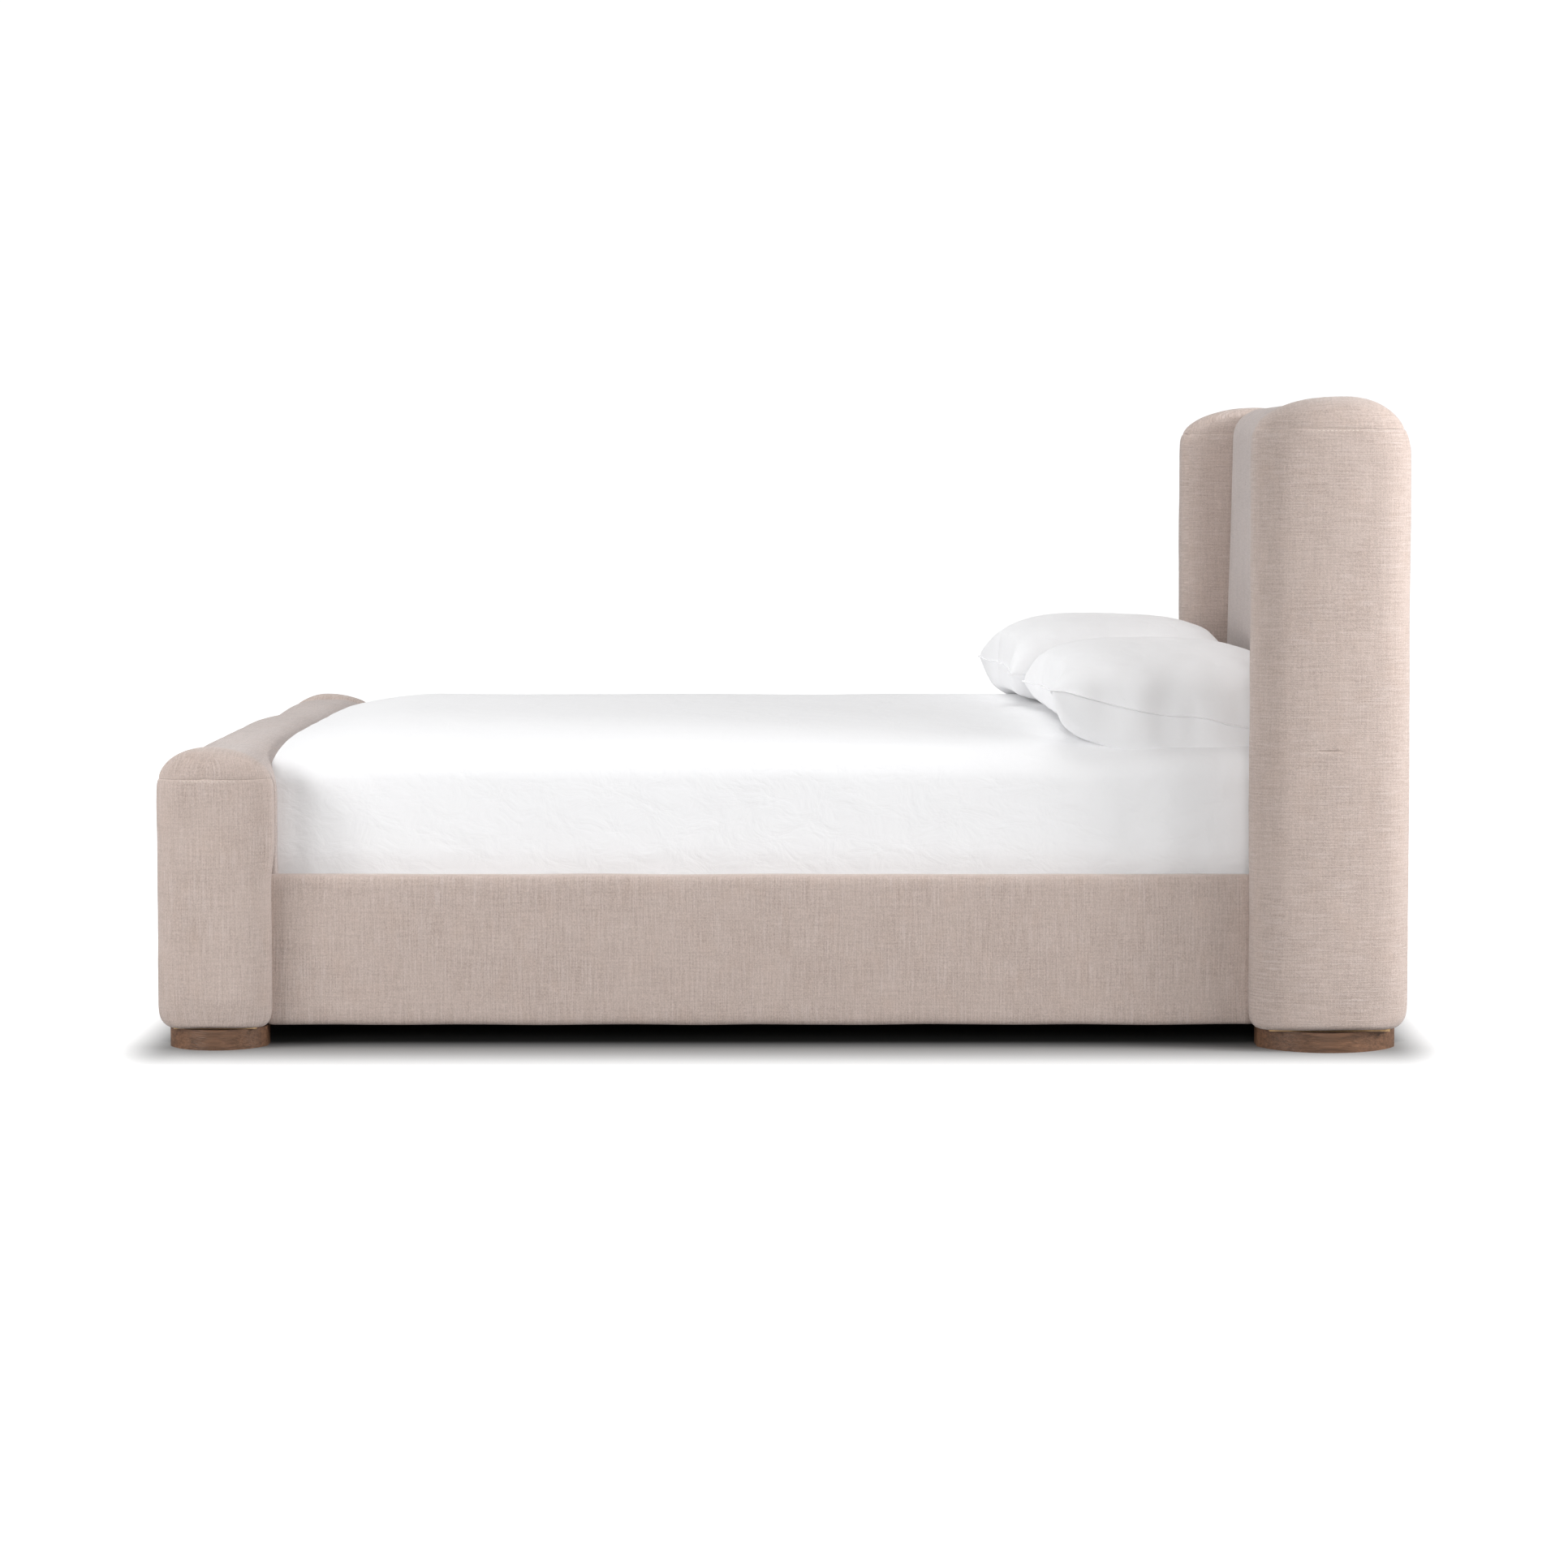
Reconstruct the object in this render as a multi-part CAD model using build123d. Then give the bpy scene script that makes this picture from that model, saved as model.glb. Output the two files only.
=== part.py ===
from build123d import *
import os

# Upholstered bed with a winged headboard, in millimetres.
# Origin: floor level, at the middle of the bed's length and width.
# +Y points to the headboard, +X to the right-hand side seen from the foot end, +Z up.
os.makedirs("parts", exist_ok=True)

# Driving dimensions
LENGTH = 2485.0  # over the backs of the wings and the end of the footboard
WELL_W = 1540.0  # clear width between the side rails
BASE = 40.0  # underside of every upholstered piece, on top of the wooden feet
FABRIC = 3.0
BOARD = 12.0
TIMBER = 40.0

# Wings at the sides of the headboard
WING_T = 150.0
WING_DEPTH = 315.0
WING_TOP = 1297.0
WING_SHOULDER = 1264.0
WING_REAR = 1268.0
WING_SEAM = 1231.0

# Padded headboard panel between the wings
PANEL_FRONT = 1039.0
PANEL_REAR = 1238.0
PANEL_TOP = 1290.0
PANEL_LEAN = 18.0
PANEL_BEND = 560.0  # height where the front face starts to lean back
PANEL_TURN = 1150.0  # the cover is turned over the back down to here

# Footboard and its end posts
POST_T = 110.0
POST_DEPTH = 232.0
POST_SEAM = 539.0
POST_TOP = 600.0
FOOTBOARD_INSET = 6.0
FOOTBOARD_SEAM = 535.0
FOOTBOARD_TOP = 598.0
FOOTBOARD_FRAME_TOP = 505.0

# Side rails
RAIL_T = 42.0
RAIL_TOP = 342.0
RAIL_R = 12.0
RAIL_BOARD = 22.0

# Slatted base
SLAT_COUNT = 13
SLAT_W = 90.0
SLAT_T = 20.0
SLAT_TOP = 248.0
LEDGE_W = 40.0
LEDGE_H = 30.0
BEAM_W = 45.0
BEAM_H = 90.0
LEG_COUNT = 3
LEG_SPACING = 620.0
LEG_W = 50.0
LEVELLER_TRAVEL = 15.0
LEVELLER_PAD_R = 20.0
LEVELLER_PAD_H = 8.0
STEM_R = 5.0
STEM_CLEARANCE = 0.05
STEM_H = 45.0

# Mattress in its fitted sheet, and the pillows
MATTRESS_W = 1524.0
MATTRESS_L = 2032.0
MATTRESS_Z = 250.0
MATTRESS_TOP = 612.0
MATTRESS_R = 45.0
SHEET = 2.0
PILLOW_L = 690.0
PILLOW_DEPTH = 455.0
PILLOW_T = 188.0
PILLOW_TURN = 3.5  # degrees about the vertical
PILLOW_X = 368.0
PILLOW_EDGE = 24.0

# Fasteners
PLATE = 4.0
BOLT_R = 4.0
BOLT_HEAD_R = 8.0
BOLT_HEAD_H = 4.0
DOWEL_R = 8.0
DOWEL_L = 60.0

# Derived places
REAR = LENGTH / 2
FOOT = -LENGTH / 2
SIDE = WELL_W / 2
WING_FRONT = REAR - WING_DEPTH
POST_INNER = FOOT + POST_DEPTH
LEDGE_TOP = SLAT_TOP - SLAT_T
LEG_TOP = LEDGE_TOP - BEAM_H
LEG_BOTTOM = LEVELLER_PAD_H + LEVELLER_TRAVEL + 1.0
CUT = 4000.0  # larger than the bed, for trimming


def block(x0, x1, y0, y1, z0, z1):
    """A box between two opposite corners."""
    middle = Pos((x0 + x1) / 2, (y0 + y1) / 2, (z0 + z1) / 2)
    return middle * Box(x1 - x0, y1 - y0, z1 - z0)


def outline(*corners):
    """A closed face through (across, up, radius) corners, each rounded by its radius."""
    face = make_face(Polyline(*[(a, b) for a, b, _ in corners], close=True))
    for a, b, radius in corners:
        if radius:
            corner = face.vertices().sort_by_distance((a, b, 0))[0]
            face = fillet(corner, radius)
    return face


def side_extrusion(face, x0, x1):
    """A side view (Y across, Z up) carried from x0 to x1."""
    return Pos(x0, 0, 0) * extrude(Plane.YZ * face, amount=x1 - x0)


def front_extrusion(face, y0, y1):
    """A front view (X across, Z up) carried from y0 to y1."""
    return Pos(0, y1, 0) * extrude(Plane.XZ * face, amount=y1 - y0)


def inset_face(face, inset):
    """The face with its outline moved inwards."""
    return offset(face, amount=-inset, kind=Kind.INTERSECTION) if inset else face


def bolt(x, y, z, direction, length):
    """A cap-head bolt: its head seats at the point, and its shank runs in the direction."""
    head = Pos(0, 0, -BOLT_HEAD_H / 2) * Cylinder(BOLT_HEAD_R, BOLT_HEAD_H)
    shank = Pos(0, 0, length / 2) * Cylinder(BOLT_R, length)
    return Plane(origin=(x, y, z), z_dir=direction) * (head + shank)


def both_sides(part):
    """The right-hand part and its mirror image."""
    return {"right": part, "left": mirror(part, about=Plane.YZ)}


# Fasteners come first, because the pieces that they pass through are drilled by them.
FRAME_X = SIDE + FABRIC + 10.0  # inner face of the wing and post frames
PLATE_Z = (90.0, 170.0)


def wing_bolts():
    """Bolts from the headboard's end studs into the wing frames, three a side."""
    start = SIDE - TIMBER
    right = [bolt(start, 1192, z, (1, 0, 0), 75) for z in (300, 640, 980)]
    return right + [mirror(one, about=Plane.YZ) for one in right]


def post_bolts():
    """Bolts from the footboard's end studs into the post frames, two a side."""
    start = SIDE - TIMBER
    right = [bolt(start, -1125, z, (1, 0, 0), 75) for z in (180, 400)]
    return right + [mirror(one, about=Plane.YZ) for one in right]


def plate_bolts():
    """Bolts through the joint plates and corner brackets into the rails and frames."""
    places = [(PLATE_Y, z) for PLATE_Y in (895, 985, -955) for z in PLATE_Z]
    inner = SIDE - PLATE
    right = [bolt(inner, y, z, (1, 0, 0), 24 if y < WING_FRONT else 40) for y, z in places]
    back = POST_INNER + PLATE
    right += [bolt(SIDE - 45, back, z, (0, -1, 0), 30) for z in PLATE_Z]
    return right + [mirror(one, about=Plane.YZ) for one in right]


def saddle_bolts():
    """Bolts through the beam saddles into the headboard and footboard."""
    flange = BEAM_W / 2 + PLATE + 15
    z = LEDGE_TOP - BEAM_H / 2
    head = [bolt(x, PANEL_FRONT - PLATE, z, (0, 1, 0), 112) for x in (-flange, flange)]
    foot = [bolt(x, POST_INNER + PLATE, z, (0, -1, 0), 30) for x in (-flange, flange)]
    return head + foot


BOLTS = wing_bolts() + post_bolts() + plate_bolts() + saddle_bolts()


def foot_centres():
    """Plan centre of each right-hand foot: under the wing, and under the post."""
    wing = (FRAME_X + 47, REAR - WING_DEPTH / 2)
    post = (FRAME_X + 32, FOOT + POST_DEPTH / 2)
    return wing, post


def dowels():
    """Wooden pegs between each foot and the frame above it, two to a foot."""
    pegs = []
    for x, y in foot_centres():
        for step in (-70, 70):
            peg = Pos(x, y + step, BASE) * Cylinder(DOWEL_R, DOWEL_L)
            pegs += [peg, mirror(peg, about=Plane.YZ)]
    return pegs


DOWELS = dowels()


def drilled(part, fasteners):
    """The part with a snug hole for every fastener that passes through it."""
    box = part.bounding_box()
    for one in fasteners:
        other = one.bounding_box()
        clear = (
            other.min.X > box.max.X
            or other.max.X < box.min.X
            or other.min.Y > box.max.Y
            or other.max.Y < box.min.Y
            or other.min.Z > box.max.Z
            or other.max.Z < box.min.Z
        )
        if not clear:
            part = part - one
    return part


def wing_body(inset):
    """The right-hand wing's outer shape, or the same shape inside its cover."""
    bottom = BASE - inset
    side = outline(
        (WING_FRONT, bottom, 0),
        (WING_FRONT, WING_SHOULDER, 45),
        (REAR - 130, WING_TOP, 120),
        (REAR, WING_REAR, 90),
        (REAR, bottom, 0),
    )
    front = outline(
        (SIDE, bottom, 0),
        (SIDE, WING_TOP, 45),
        (SIDE + WING_T, WING_TOP, 60),
        (SIDE + WING_T, bottom, 0),
    )
    plan = Pos(SIDE + WING_T / 2, (WING_FRONT + REAR) / 2, BASE) * RectangleRounded(
        WING_T - 2 * inset, WING_DEPTH - 2 * inset, 40 - inset
    )
    body = side_extrusion(inset_face(side, inset), SIDE, SIDE + WING_T)
    body = body & front_extrusion(inset_face(front, inset), WING_FRONT, REAR)
    return body & extrude(plan, amount=WING_TOP)


def wing():
    """A wing's timber frame, foam wrap, side cover and sewn-on top cap."""
    outer = wing_body(0)
    inner = wing_body(FABRIC)
    x0, x1 = FRAME_X, SIDE + WING_T - 35
    y0, y1 = WING_FRONT + 38, REAR - 38
    z1 = WING_SEAM - 36
    envelope = block(x0, x1, y0, y1, BASE, z1)
    frame = envelope
    bays = 5
    pitch = (z1 - BASE - TIMBER) / bays
    for bay in range(bays):
        low = BASE + TIMBER + bay * pitch
        frame -= block(x0, x1, y0 + TIMBER, y1 - TIMBER, low, low + pitch - TIMBER)
    shell = outer - inner
    return {
        "wing_frame": frame,
        "wing_foam": inner - envelope,
        "wing_cover": shell & block(0, CUT, -CUT, CUT, BASE, WING_SEAM),
        "wing_cap": shell & block(0, CUT, -CUT, CUT, WING_SEAM, CUT),
    }


def dome_side(y0, y1, seam, top, inset):
    """A padded end's side view: straight sides, and one arc over the top."""
    bottom = BASE - inset
    sides = Polyline((y1, seam), (y1, bottom), (y0, bottom), (y0, seam))
    arc = ThreePointArc((y0, seam), ((y0 + y1) / 2, top), (y1, seam))
    return inset_face(make_face(sides + arc), inset)


def post_body(inset):
    """The right-hand footboard post's outer shape, or the shape inside its cover."""
    side = dome_side(FOOT, POST_INNER, POST_SEAM, POST_TOP, inset)
    front = outline(
        (SIDE, BASE - inset, 0),
        (SIDE, POST_TOP, 20),
        (SIDE + POST_T, POST_TOP, 40),
        (SIDE + POST_T, BASE - inset, 0),
    )
    plan = Pos(SIDE + POST_T / 2, (FOOT + POST_INNER) / 2, BASE) * RectangleRounded(
        POST_T - 2 * inset, POST_DEPTH - 2 * inset, 35 - inset
    )
    body = side_extrusion(side, SIDE, SIDE + POST_T)
    body = body & front_extrusion(inset_face(front, inset), FOOT, POST_INNER)
    return body & extrude(plan, amount=POST_TOP)


def post():
    """A footboard post's timber frame, foam wrap, side cover and sewn-on top cap."""
    outer = post_body(0)
    inner = post_body(FABRIC)
    x0, x1 = FRAME_X, SIDE + POST_T - 28
    y0, y1 = FOOT + 34, POST_INNER - 34
    envelope = block(x0, x1, y0, y1, BASE, FOOTBOARD_FRAME_TOP)
    frame = envelope
    middle = (BASE + FOOTBOARD_FRAME_TOP) / 2
    for low, high in (
        (BASE + TIMBER, middle - TIMBER / 2),
        (middle + TIMBER / 2, FOOTBOARD_FRAME_TOP - TIMBER),
    ):
        frame -= block(x0, x1, y0 + TIMBER / 2, y1 - TIMBER / 2, low, high)
    shell = outer - inner
    return {
        "post_frame": frame,
        "post_foam": inner - envelope,
        "post_cover": shell & block(0, CUT, -CUT, CUT, BASE, POST_SEAM),
        "post_cap": shell & block(0, CUT, -CUT, CUT, POST_SEAM, CUT),
    }


def uprights(y0, y1, z0, z1):
    """Four studs of a panel frame: two at the ends, and two spaced between them."""
    studs = []
    for index in range(4):
        x = -SIDE + index * (WELL_W - TIMBER) / 3
        studs.append(block(x, x + TIMBER, y0, y1, z0, z1))
    return studs


def headboard():
    """The panel between the wings: frame, board, foam, cover and back cloth."""
    outer, inner = [
        side_extrusion(
            inset_face(
                outline(
                    (PANEL_FRONT, BASE - inset, 0),
                    (PANEL_FRONT, PANEL_BEND, 0),
                    (PANEL_FRONT + PANEL_LEAN, PANEL_TOP, 62),
                    (PANEL_REAR, PANEL_TOP, 40),
                    (PANEL_REAR, BASE - inset, 0),
                ),
                inset,
            ),
            -SIDE,
            SIDE,
        )
        for inset in (0, FABRIC)
    ]
    rear = PANEL_REAR - FABRIC
    frame_front = rear - 87
    board_front = frame_front - BOARD
    top = PANEL_TOP - 65
    envelope = block(-SIDE, SIDE, board_front, rear, BASE, top)
    low_rail = BASE + 90
    high_rail = top - 60
    cloth_zone = block(-SIDE, SIDE, rear, PANEL_REAR, BASE, PANEL_TURN)
    return {
        "headboard_top_rail": block(-SIDE, SIDE, frame_front, rear, high_rail, top),
        "headboard_bottom_rail": block(-SIDE, SIDE, frame_front, rear, BASE, low_rail),
        "headboard_studs": uprights(frame_front, rear, low_rail, high_rail),
        "headboard_board": block(-SIDE, SIDE, board_front, frame_front, BASE, top),
        "headboard_foam": inner - envelope,
        "headboard_cover": outer - inner - cloth_zone,
        "headboard_back_cloth": cloth_zone,
    }


def footboard():
    """The padded panel between the posts: frame, two boards, foam and cover."""
    y0, y1 = FOOT + FOOTBOARD_INSET, POST_INNER
    outer, inner = [
        side_extrusion(
            dome_side(y0, y1, FOOTBOARD_SEAM, FOOTBOARD_TOP, inset), -SIDE, SIDE
        )
        for inset in (0, FABRIC)
    ]
    top = FOOTBOARD_FRAME_TOP
    low, high = y0 + 30, y1 - FABRIC - 10
    envelope = block(-SIDE, SIDE, low, high, BASE, top)
    a, b = low + BOARD, high - BOARD
    return {
        "footboard_outer_board": block(-SIDE, SIDE, low, a, BASE, top),
        "footboard_inner_board": block(-SIDE, SIDE, b, high, BASE, top),
        "footboard_top_rail": block(-SIDE, SIDE, a, b, top - TIMBER, top),
        "footboard_bottom_rail": block(-SIDE, SIDE, a, b, BASE, BASE + TIMBER),
        "footboard_studs": uprights(a, b, BASE + TIMBER, top - TIMBER),
        "footboard_foam": inner - envelope,
        "footboard_cover": outer - inner,
    }


def side_rail():
    """The right-hand rail: board, foam face, wrapped cover, and the ledge for the slats."""
    middle = Pos(SIDE + RAIL_T / 2, (BASE + RAIL_TOP) / 2)
    height = RAIL_TOP - BASE
    outer = middle * RectangleRounded(RAIL_T, height, RAIL_R)
    inner = middle * RectangleRounded(
        RAIL_T - 2 * FABRIC, height - 2 * FABRIC, RAIL_R - FABRIC
    )
    core = front_extrusion(inner, POST_INNER, WING_FRONT)
    x = SIDE + FABRIC + RAIL_BOARD
    ledge = block(
        SIDE - LEDGE_W, SIDE, POST_INNER, WING_FRONT, LEDGE_TOP - LEDGE_H, LEDGE_TOP
    )
    return {
        "rail_board": core & block(0, x, -CUT, CUT, 0, CUT),
        "rail_foam": core & block(x, CUT, -CUT, CUT, 0, CUT),
        "rail_cover": front_extrusion(outer - inner, POST_INNER, WING_FRONT),
        "slat_ledge": ledge,
    }


def d_foot(centre, length, depth, bulge):
    """A wooden foot: straight inner side, short ends, and a bowed outer side."""
    x0 = -depth / 2
    x1 = depth / 2
    y = length / 2
    ends = Polyline((x1 - bulge, y), (x0, y), (x0, -y), (x1 - bulge, -y))
    bow = ThreePointArc((x1 - bulge, -y), (x1, 0), (x1 - bulge, y))
    foot = extrude(make_face(ends + bow), amount=BASE)
    foot = fillet(foot.edges().filter_by(Axis.Z), 14)
    return Pos(*centre, 0) * foot


def feet():
    """The two right-hand feet, each set in from the fabric above it."""
    wing_centre, post_centre = foot_centres()
    return {
        "head_foot": d_foot(wing_centre, 275, 150, 86),
        "tail_foot": d_foot(post_centre, 193, 116, 62),
    }


def slats():
    """Loose pine slats, evenly spaced on the ledges and the centre beam."""
    length = WELL_W - 10
    first = POST_INNER + 60
    last = PANEL_FRONT - 60
    pitch = (last - first - SLAT_W) / (SLAT_COUNT - 1)
    row = []
    for index in range(SLAT_COUNT):
        y = first + index * pitch
        row.append(block(-length / 2, length / 2, y, y + SLAT_W, LEDGE_TOP, SLAT_TOP))
    return row


def slat_straps():
    """Two webbing straps stapled along the tops of the slats."""
    y0, y1 = POST_INNER + 65, PANEL_FRONT - 65
    return [
        block(x - 15, x + 15, y0, y1, SLAT_TOP, SLAT_TOP + 1) for x in (-420, 420)
    ]


def centre_support():
    """The centre beam, its legs, and the screw-in levelling foot of each leg."""
    y0, y1 = POST_INNER + PLATE, PANEL_FRONT - PLATE
    half = BEAM_W / 2
    pieces = {"centre_beam": block(-half, half, y0, y1, LEG_TOP, LEDGE_TOP)}
    for index in range(LEG_COUNT):
        y = (index - (LEG_COUNT - 1) / 2) * LEG_SPACING
        leg = block(
            -LEG_W / 2, LEG_W / 2, y - LEG_W / 2, y + LEG_W / 2, LEG_BOTTOM, LEG_TOP
        )
        bore_h = STEM_H + LEVELLER_TRAVEL + 5
        bore = Pos(0, y, LEG_BOTTOM + bore_h / 2) * Cylinder(
            STEM_R + STEM_CLEARANCE, bore_h
        )
        pad = Cylinder(LEVELLER_PAD_R, LEVELLER_PAD_H)
        pad = fillet(pad.edges().sort_by(Axis.Z)[-1], 3)
        stem_top = LEG_BOTTOM + STEM_H
        stem_h = stem_top - LEVELLER_PAD_H
        stem = Pos(0, 0, LEVELLER_PAD_H / 2 + stem_h / 2) * Cylinder(STEM_R, stem_h)
        pieces[f"centre_leg_{index + 1}"] = leg - bore
        pieces[f"leveller_{index + 1}"] = Pos(0, y, LEVELLER_PAD_H / 2) * (pad + stem)
    return pieces


def corner_bracket():
    """A steel angle from the rail's inner face to the footboard's inner face."""
    z0, z1 = PLATE_Z[0] - 25, PLATE_Z[1] + 20
    along_rail = block(SIDE - PLATE, SIDE, POST_INNER, POST_INNER + 85, z0, z1)
    along_board = block(SIDE - 75, SIDE, POST_INNER, POST_INNER + PLATE, z0, z1)
    return along_rail + along_board


def joint_plate():
    """A flat steel plate across the joint between the rail and the wing."""
    z0, z1 = PLATE_Z[0] - 25, PLATE_Z[1] + 20
    return block(SIDE - PLATE, SIDE, WING_FRONT - 62, WING_FRONT + 88, z0, z1)


def beam_saddle(y, into):
    """A steel cup with two flanges that carries one end of the centre beam."""
    half = BEAM_W / 2
    flange = half + PLATE + 32
    back = sorted((y, y + into * PLATE))
    cup = sorted((y, y + into * 50))
    saddle = block(-flange, flange, *back, LEG_TOP - PLATE, LEDGE_TOP)
    saddle += block(-half - PLATE, half + PLATE, *cup, LEG_TOP - PLATE, LEDGE_TOP)
    cavity = sorted((y + into * PLATE, y + into * 60))
    return saddle - block(-half, half, *cavity, LEG_TOP, CUT)


def hardware():
    """The steel fittings and pegs, each kind in one group."""
    bracket = both_sides(corner_bracket()).values()
    plate = both_sides(joint_plate()).values()
    saddles = [beam_saddle(PANEL_FRONT, -1), beam_saddle(POST_INNER, 1)]
    return {
        "corner_brackets": list(bracket),
        "joint_plates": list(plate),
        "beam_saddles": saddles,
        "bolts": BOLTS,
        "dowels": DOWELS,
    }


def mattress_block(inset):
    """The mattress shape with a soft top edge, centred in the well."""
    middle = (POST_INNER + PANEL_FRONT) / 2
    plan = Pos(0, middle, MATTRESS_Z + inset) * RectangleRounded(
        MATTRESS_W - 2 * inset, MATTRESS_L - 2 * inset, 60 - inset
    )
    body = extrude(plan, amount=MATTRESS_TOP - MATTRESS_Z - 2 * inset)
    return fillet(body.edges().group_by(Axis.Z)[-1], MATTRESS_R - inset)


def bedding():
    """The mattress, and the fitted sheet with its hem turned under."""
    mattress = mattress_block(SHEET)
    hem = 120
    middle = (POST_INNER + PANEL_FRONT) / 2
    x, y = MATTRESS_W / 2 - hem, MATTRESS_L / 2 - hem
    window = block(-x, x, middle - y, middle + y, MATTRESS_Z, MATTRESS_Z + SHEET)
    return {
        "mattress": mattress,
        "fitted_sheet": mattress_block(0) - mattress - window,
    }


def lens(length, thickness):
    """A pillow's section: two shallow arcs between blunt seamed edges."""
    half, edge = length / 2, PILLOW_EDGE / 2
    top = ThreePointArc((-half, edge), (0, thickness / 2), (half, edge))
    bottom = ThreePointArc((half, -edge), (0, -thickness / 2), (-half, -edge))
    ends = Line((half, edge), (half, -edge)) + Line((-half, -edge), (-half, edge))
    return make_face(top + bottom + ends)


def pillow(x, foot_edge):
    """A filled pillow lying on the sheet, its foot-side seam at the given place."""
    along = front_extrusion(lens(PILLOW_L, PILLOW_T), -PILLOW_DEPTH / 2, PILLOW_DEPTH / 2)
    across = side_extrusion(lens(PILLOW_DEPTH, PILLOW_T), -PILLOW_L / 2, PILLOW_L / 2)
    lift = MATTRESS_TOP + PILLOW_T / 2 + 0.5
    place = Pos(x, foot_edge + PILLOW_DEPTH / 2, lift) * Rot(0, 0, PILLOW_TURN)
    return place * (along & across)


def all_parts():
    """Every sub-part by node name; a list is a group of identical pieces."""
    parts = headboard() | footboard() | centre_support() | hardware() | bedding()
    for name, piece in (wing() | post() | side_rail() | feet()).items():
        for side, copy in both_sides(piece).items():
            parts[f"{name}_{side}"] = copy
    parts["slats"] = slats()
    parts["slat_straps"] = slat_straps()
    parts["pillow_right"] = pillow(PILLOW_X, 555)
    parts["pillow_left"] = pillow(-PILLOW_X, 473)
    return parts


LOOSE = ("bolts", "dowels", "mattress", "fitted_sheet", "pillow_right", "pillow_left")
for node, shape in all_parts().items():
    if node not in LOOSE:
        pieces = shape if isinstance(shape, list) else [shape]
        shape = [drilled(piece, BOLTS + DOWELS) for piece in pieces]
    if isinstance(shape, list):
        shape = Compound(children=[solid for piece in shape for solid in piece.solids()])
    export_step(shape, f"parts/{node}.step")
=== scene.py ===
"""Upholstered bed: fabric, bedding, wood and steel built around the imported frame."""

import math

import bpy
import bmesh
import numpy as np
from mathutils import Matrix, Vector, noise


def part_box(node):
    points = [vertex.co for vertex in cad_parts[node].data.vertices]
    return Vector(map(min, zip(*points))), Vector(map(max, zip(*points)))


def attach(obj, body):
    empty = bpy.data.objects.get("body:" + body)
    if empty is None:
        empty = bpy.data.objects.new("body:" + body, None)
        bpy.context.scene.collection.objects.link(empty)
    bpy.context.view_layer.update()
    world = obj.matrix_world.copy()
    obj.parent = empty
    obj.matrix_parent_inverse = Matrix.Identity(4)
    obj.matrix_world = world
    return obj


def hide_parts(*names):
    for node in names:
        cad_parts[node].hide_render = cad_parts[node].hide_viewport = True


bl_info = {
    "name": "Upholstered headboard bed",
    "version": (1, 0, 0),
    "blender": (4, 5, 0),
    "location": "View3D > Sidebar > Bed",
    "description": "Builds the padded covers, bedding and finishes of a winged bed",
    "category": "Object",
}

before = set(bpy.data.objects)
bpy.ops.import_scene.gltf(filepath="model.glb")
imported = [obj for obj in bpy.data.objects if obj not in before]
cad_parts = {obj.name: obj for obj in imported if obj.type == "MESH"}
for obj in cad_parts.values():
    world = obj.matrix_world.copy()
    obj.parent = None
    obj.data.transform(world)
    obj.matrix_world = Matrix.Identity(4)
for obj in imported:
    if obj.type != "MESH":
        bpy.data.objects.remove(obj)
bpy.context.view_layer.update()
SIDES = {"right": 1, "left": -1}
WHITE = (1, 1, 1)


# ---------------------------------------------------------------- settings


class BedFinishes(bpy.types.PropertyGroup):
    """Colours of the bed's materials."""

    linen_light: bpy.props.FloatVectorProperty(
        name="Linen light thread",
        description="Colour of the pale threads of the covers",
        subtype="COLOR",
        size=3,
        min=0.0,
        max=1.0,
        default=(0.680, 0.566, 0.512),
    )
    linen_dark: bpy.props.FloatVectorProperty(
        name="Linen dark thread",
        description="Colour of the darker threads of the covers",
        subtype="COLOR",
        size=3,
        min=0.0,
        max=1.0,
        default=(0.385, 0.305, 0.268),
    )
    cotton: bpy.props.FloatVectorProperty(
        name="Bedding cotton",
        description="Colour of the sheet and the pillowcases",
        subtype="COLOR",
        size=3,
        min=0.0,
        max=1.0,
        default=(0.935, 0.935, 0.945),
    )
    foot_stain: bpy.props.FloatVectorProperty(
        name="Foot stain",
        description="Colour of the stained wooden feet",
        subtype="COLOR",
        size=3,
        min=0.0,
        max=1.0,
        default=(0.115, 0.058, 0.032),
    )


class BedSizes(bpy.types.PropertyGroup):
    """Softness of the padding and the bedding, all in metres."""

    seam_depth: bpy.props.FloatProperty(
        name="Seam depth",
        description="How far the cap seams pull into the padding",
        unit="LENGTH",
        default=0.0013,
    )
    wing_crown: bpy.props.FloatProperty(
        name="Wing crown",
        description="How far the outer side of a wing curves back at its edges",
        unit="LENGTH",
        default=0.023,
    )
    post_crown: bpy.props.FloatProperty(
        name="Post crown",
        description="How far the outer side of a post curves back at its edges",
        unit="LENGTH",
        default=0.018,
    )
    lumps: bpy.props.FloatProperty(
        name="Padding lumps",
        description="Height of the soft unevenness of the padding",
        unit="LENGTH",
        default=0.0016,
    )
    mattress_crown: bpy.props.FloatProperty(
        name="Mattress crown",
        description="How far the middle of the mattress stands above its long edges",
        unit="LENGTH",
        default=0.045,
    )


def finishes():
    """The colours in use."""
    return bpy.context.scene.bed_finishes


def sizes():
    """The softness in use."""
    return bpy.context.scene.bed_sizes


# ---------------------------------------------------------------- materials


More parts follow.
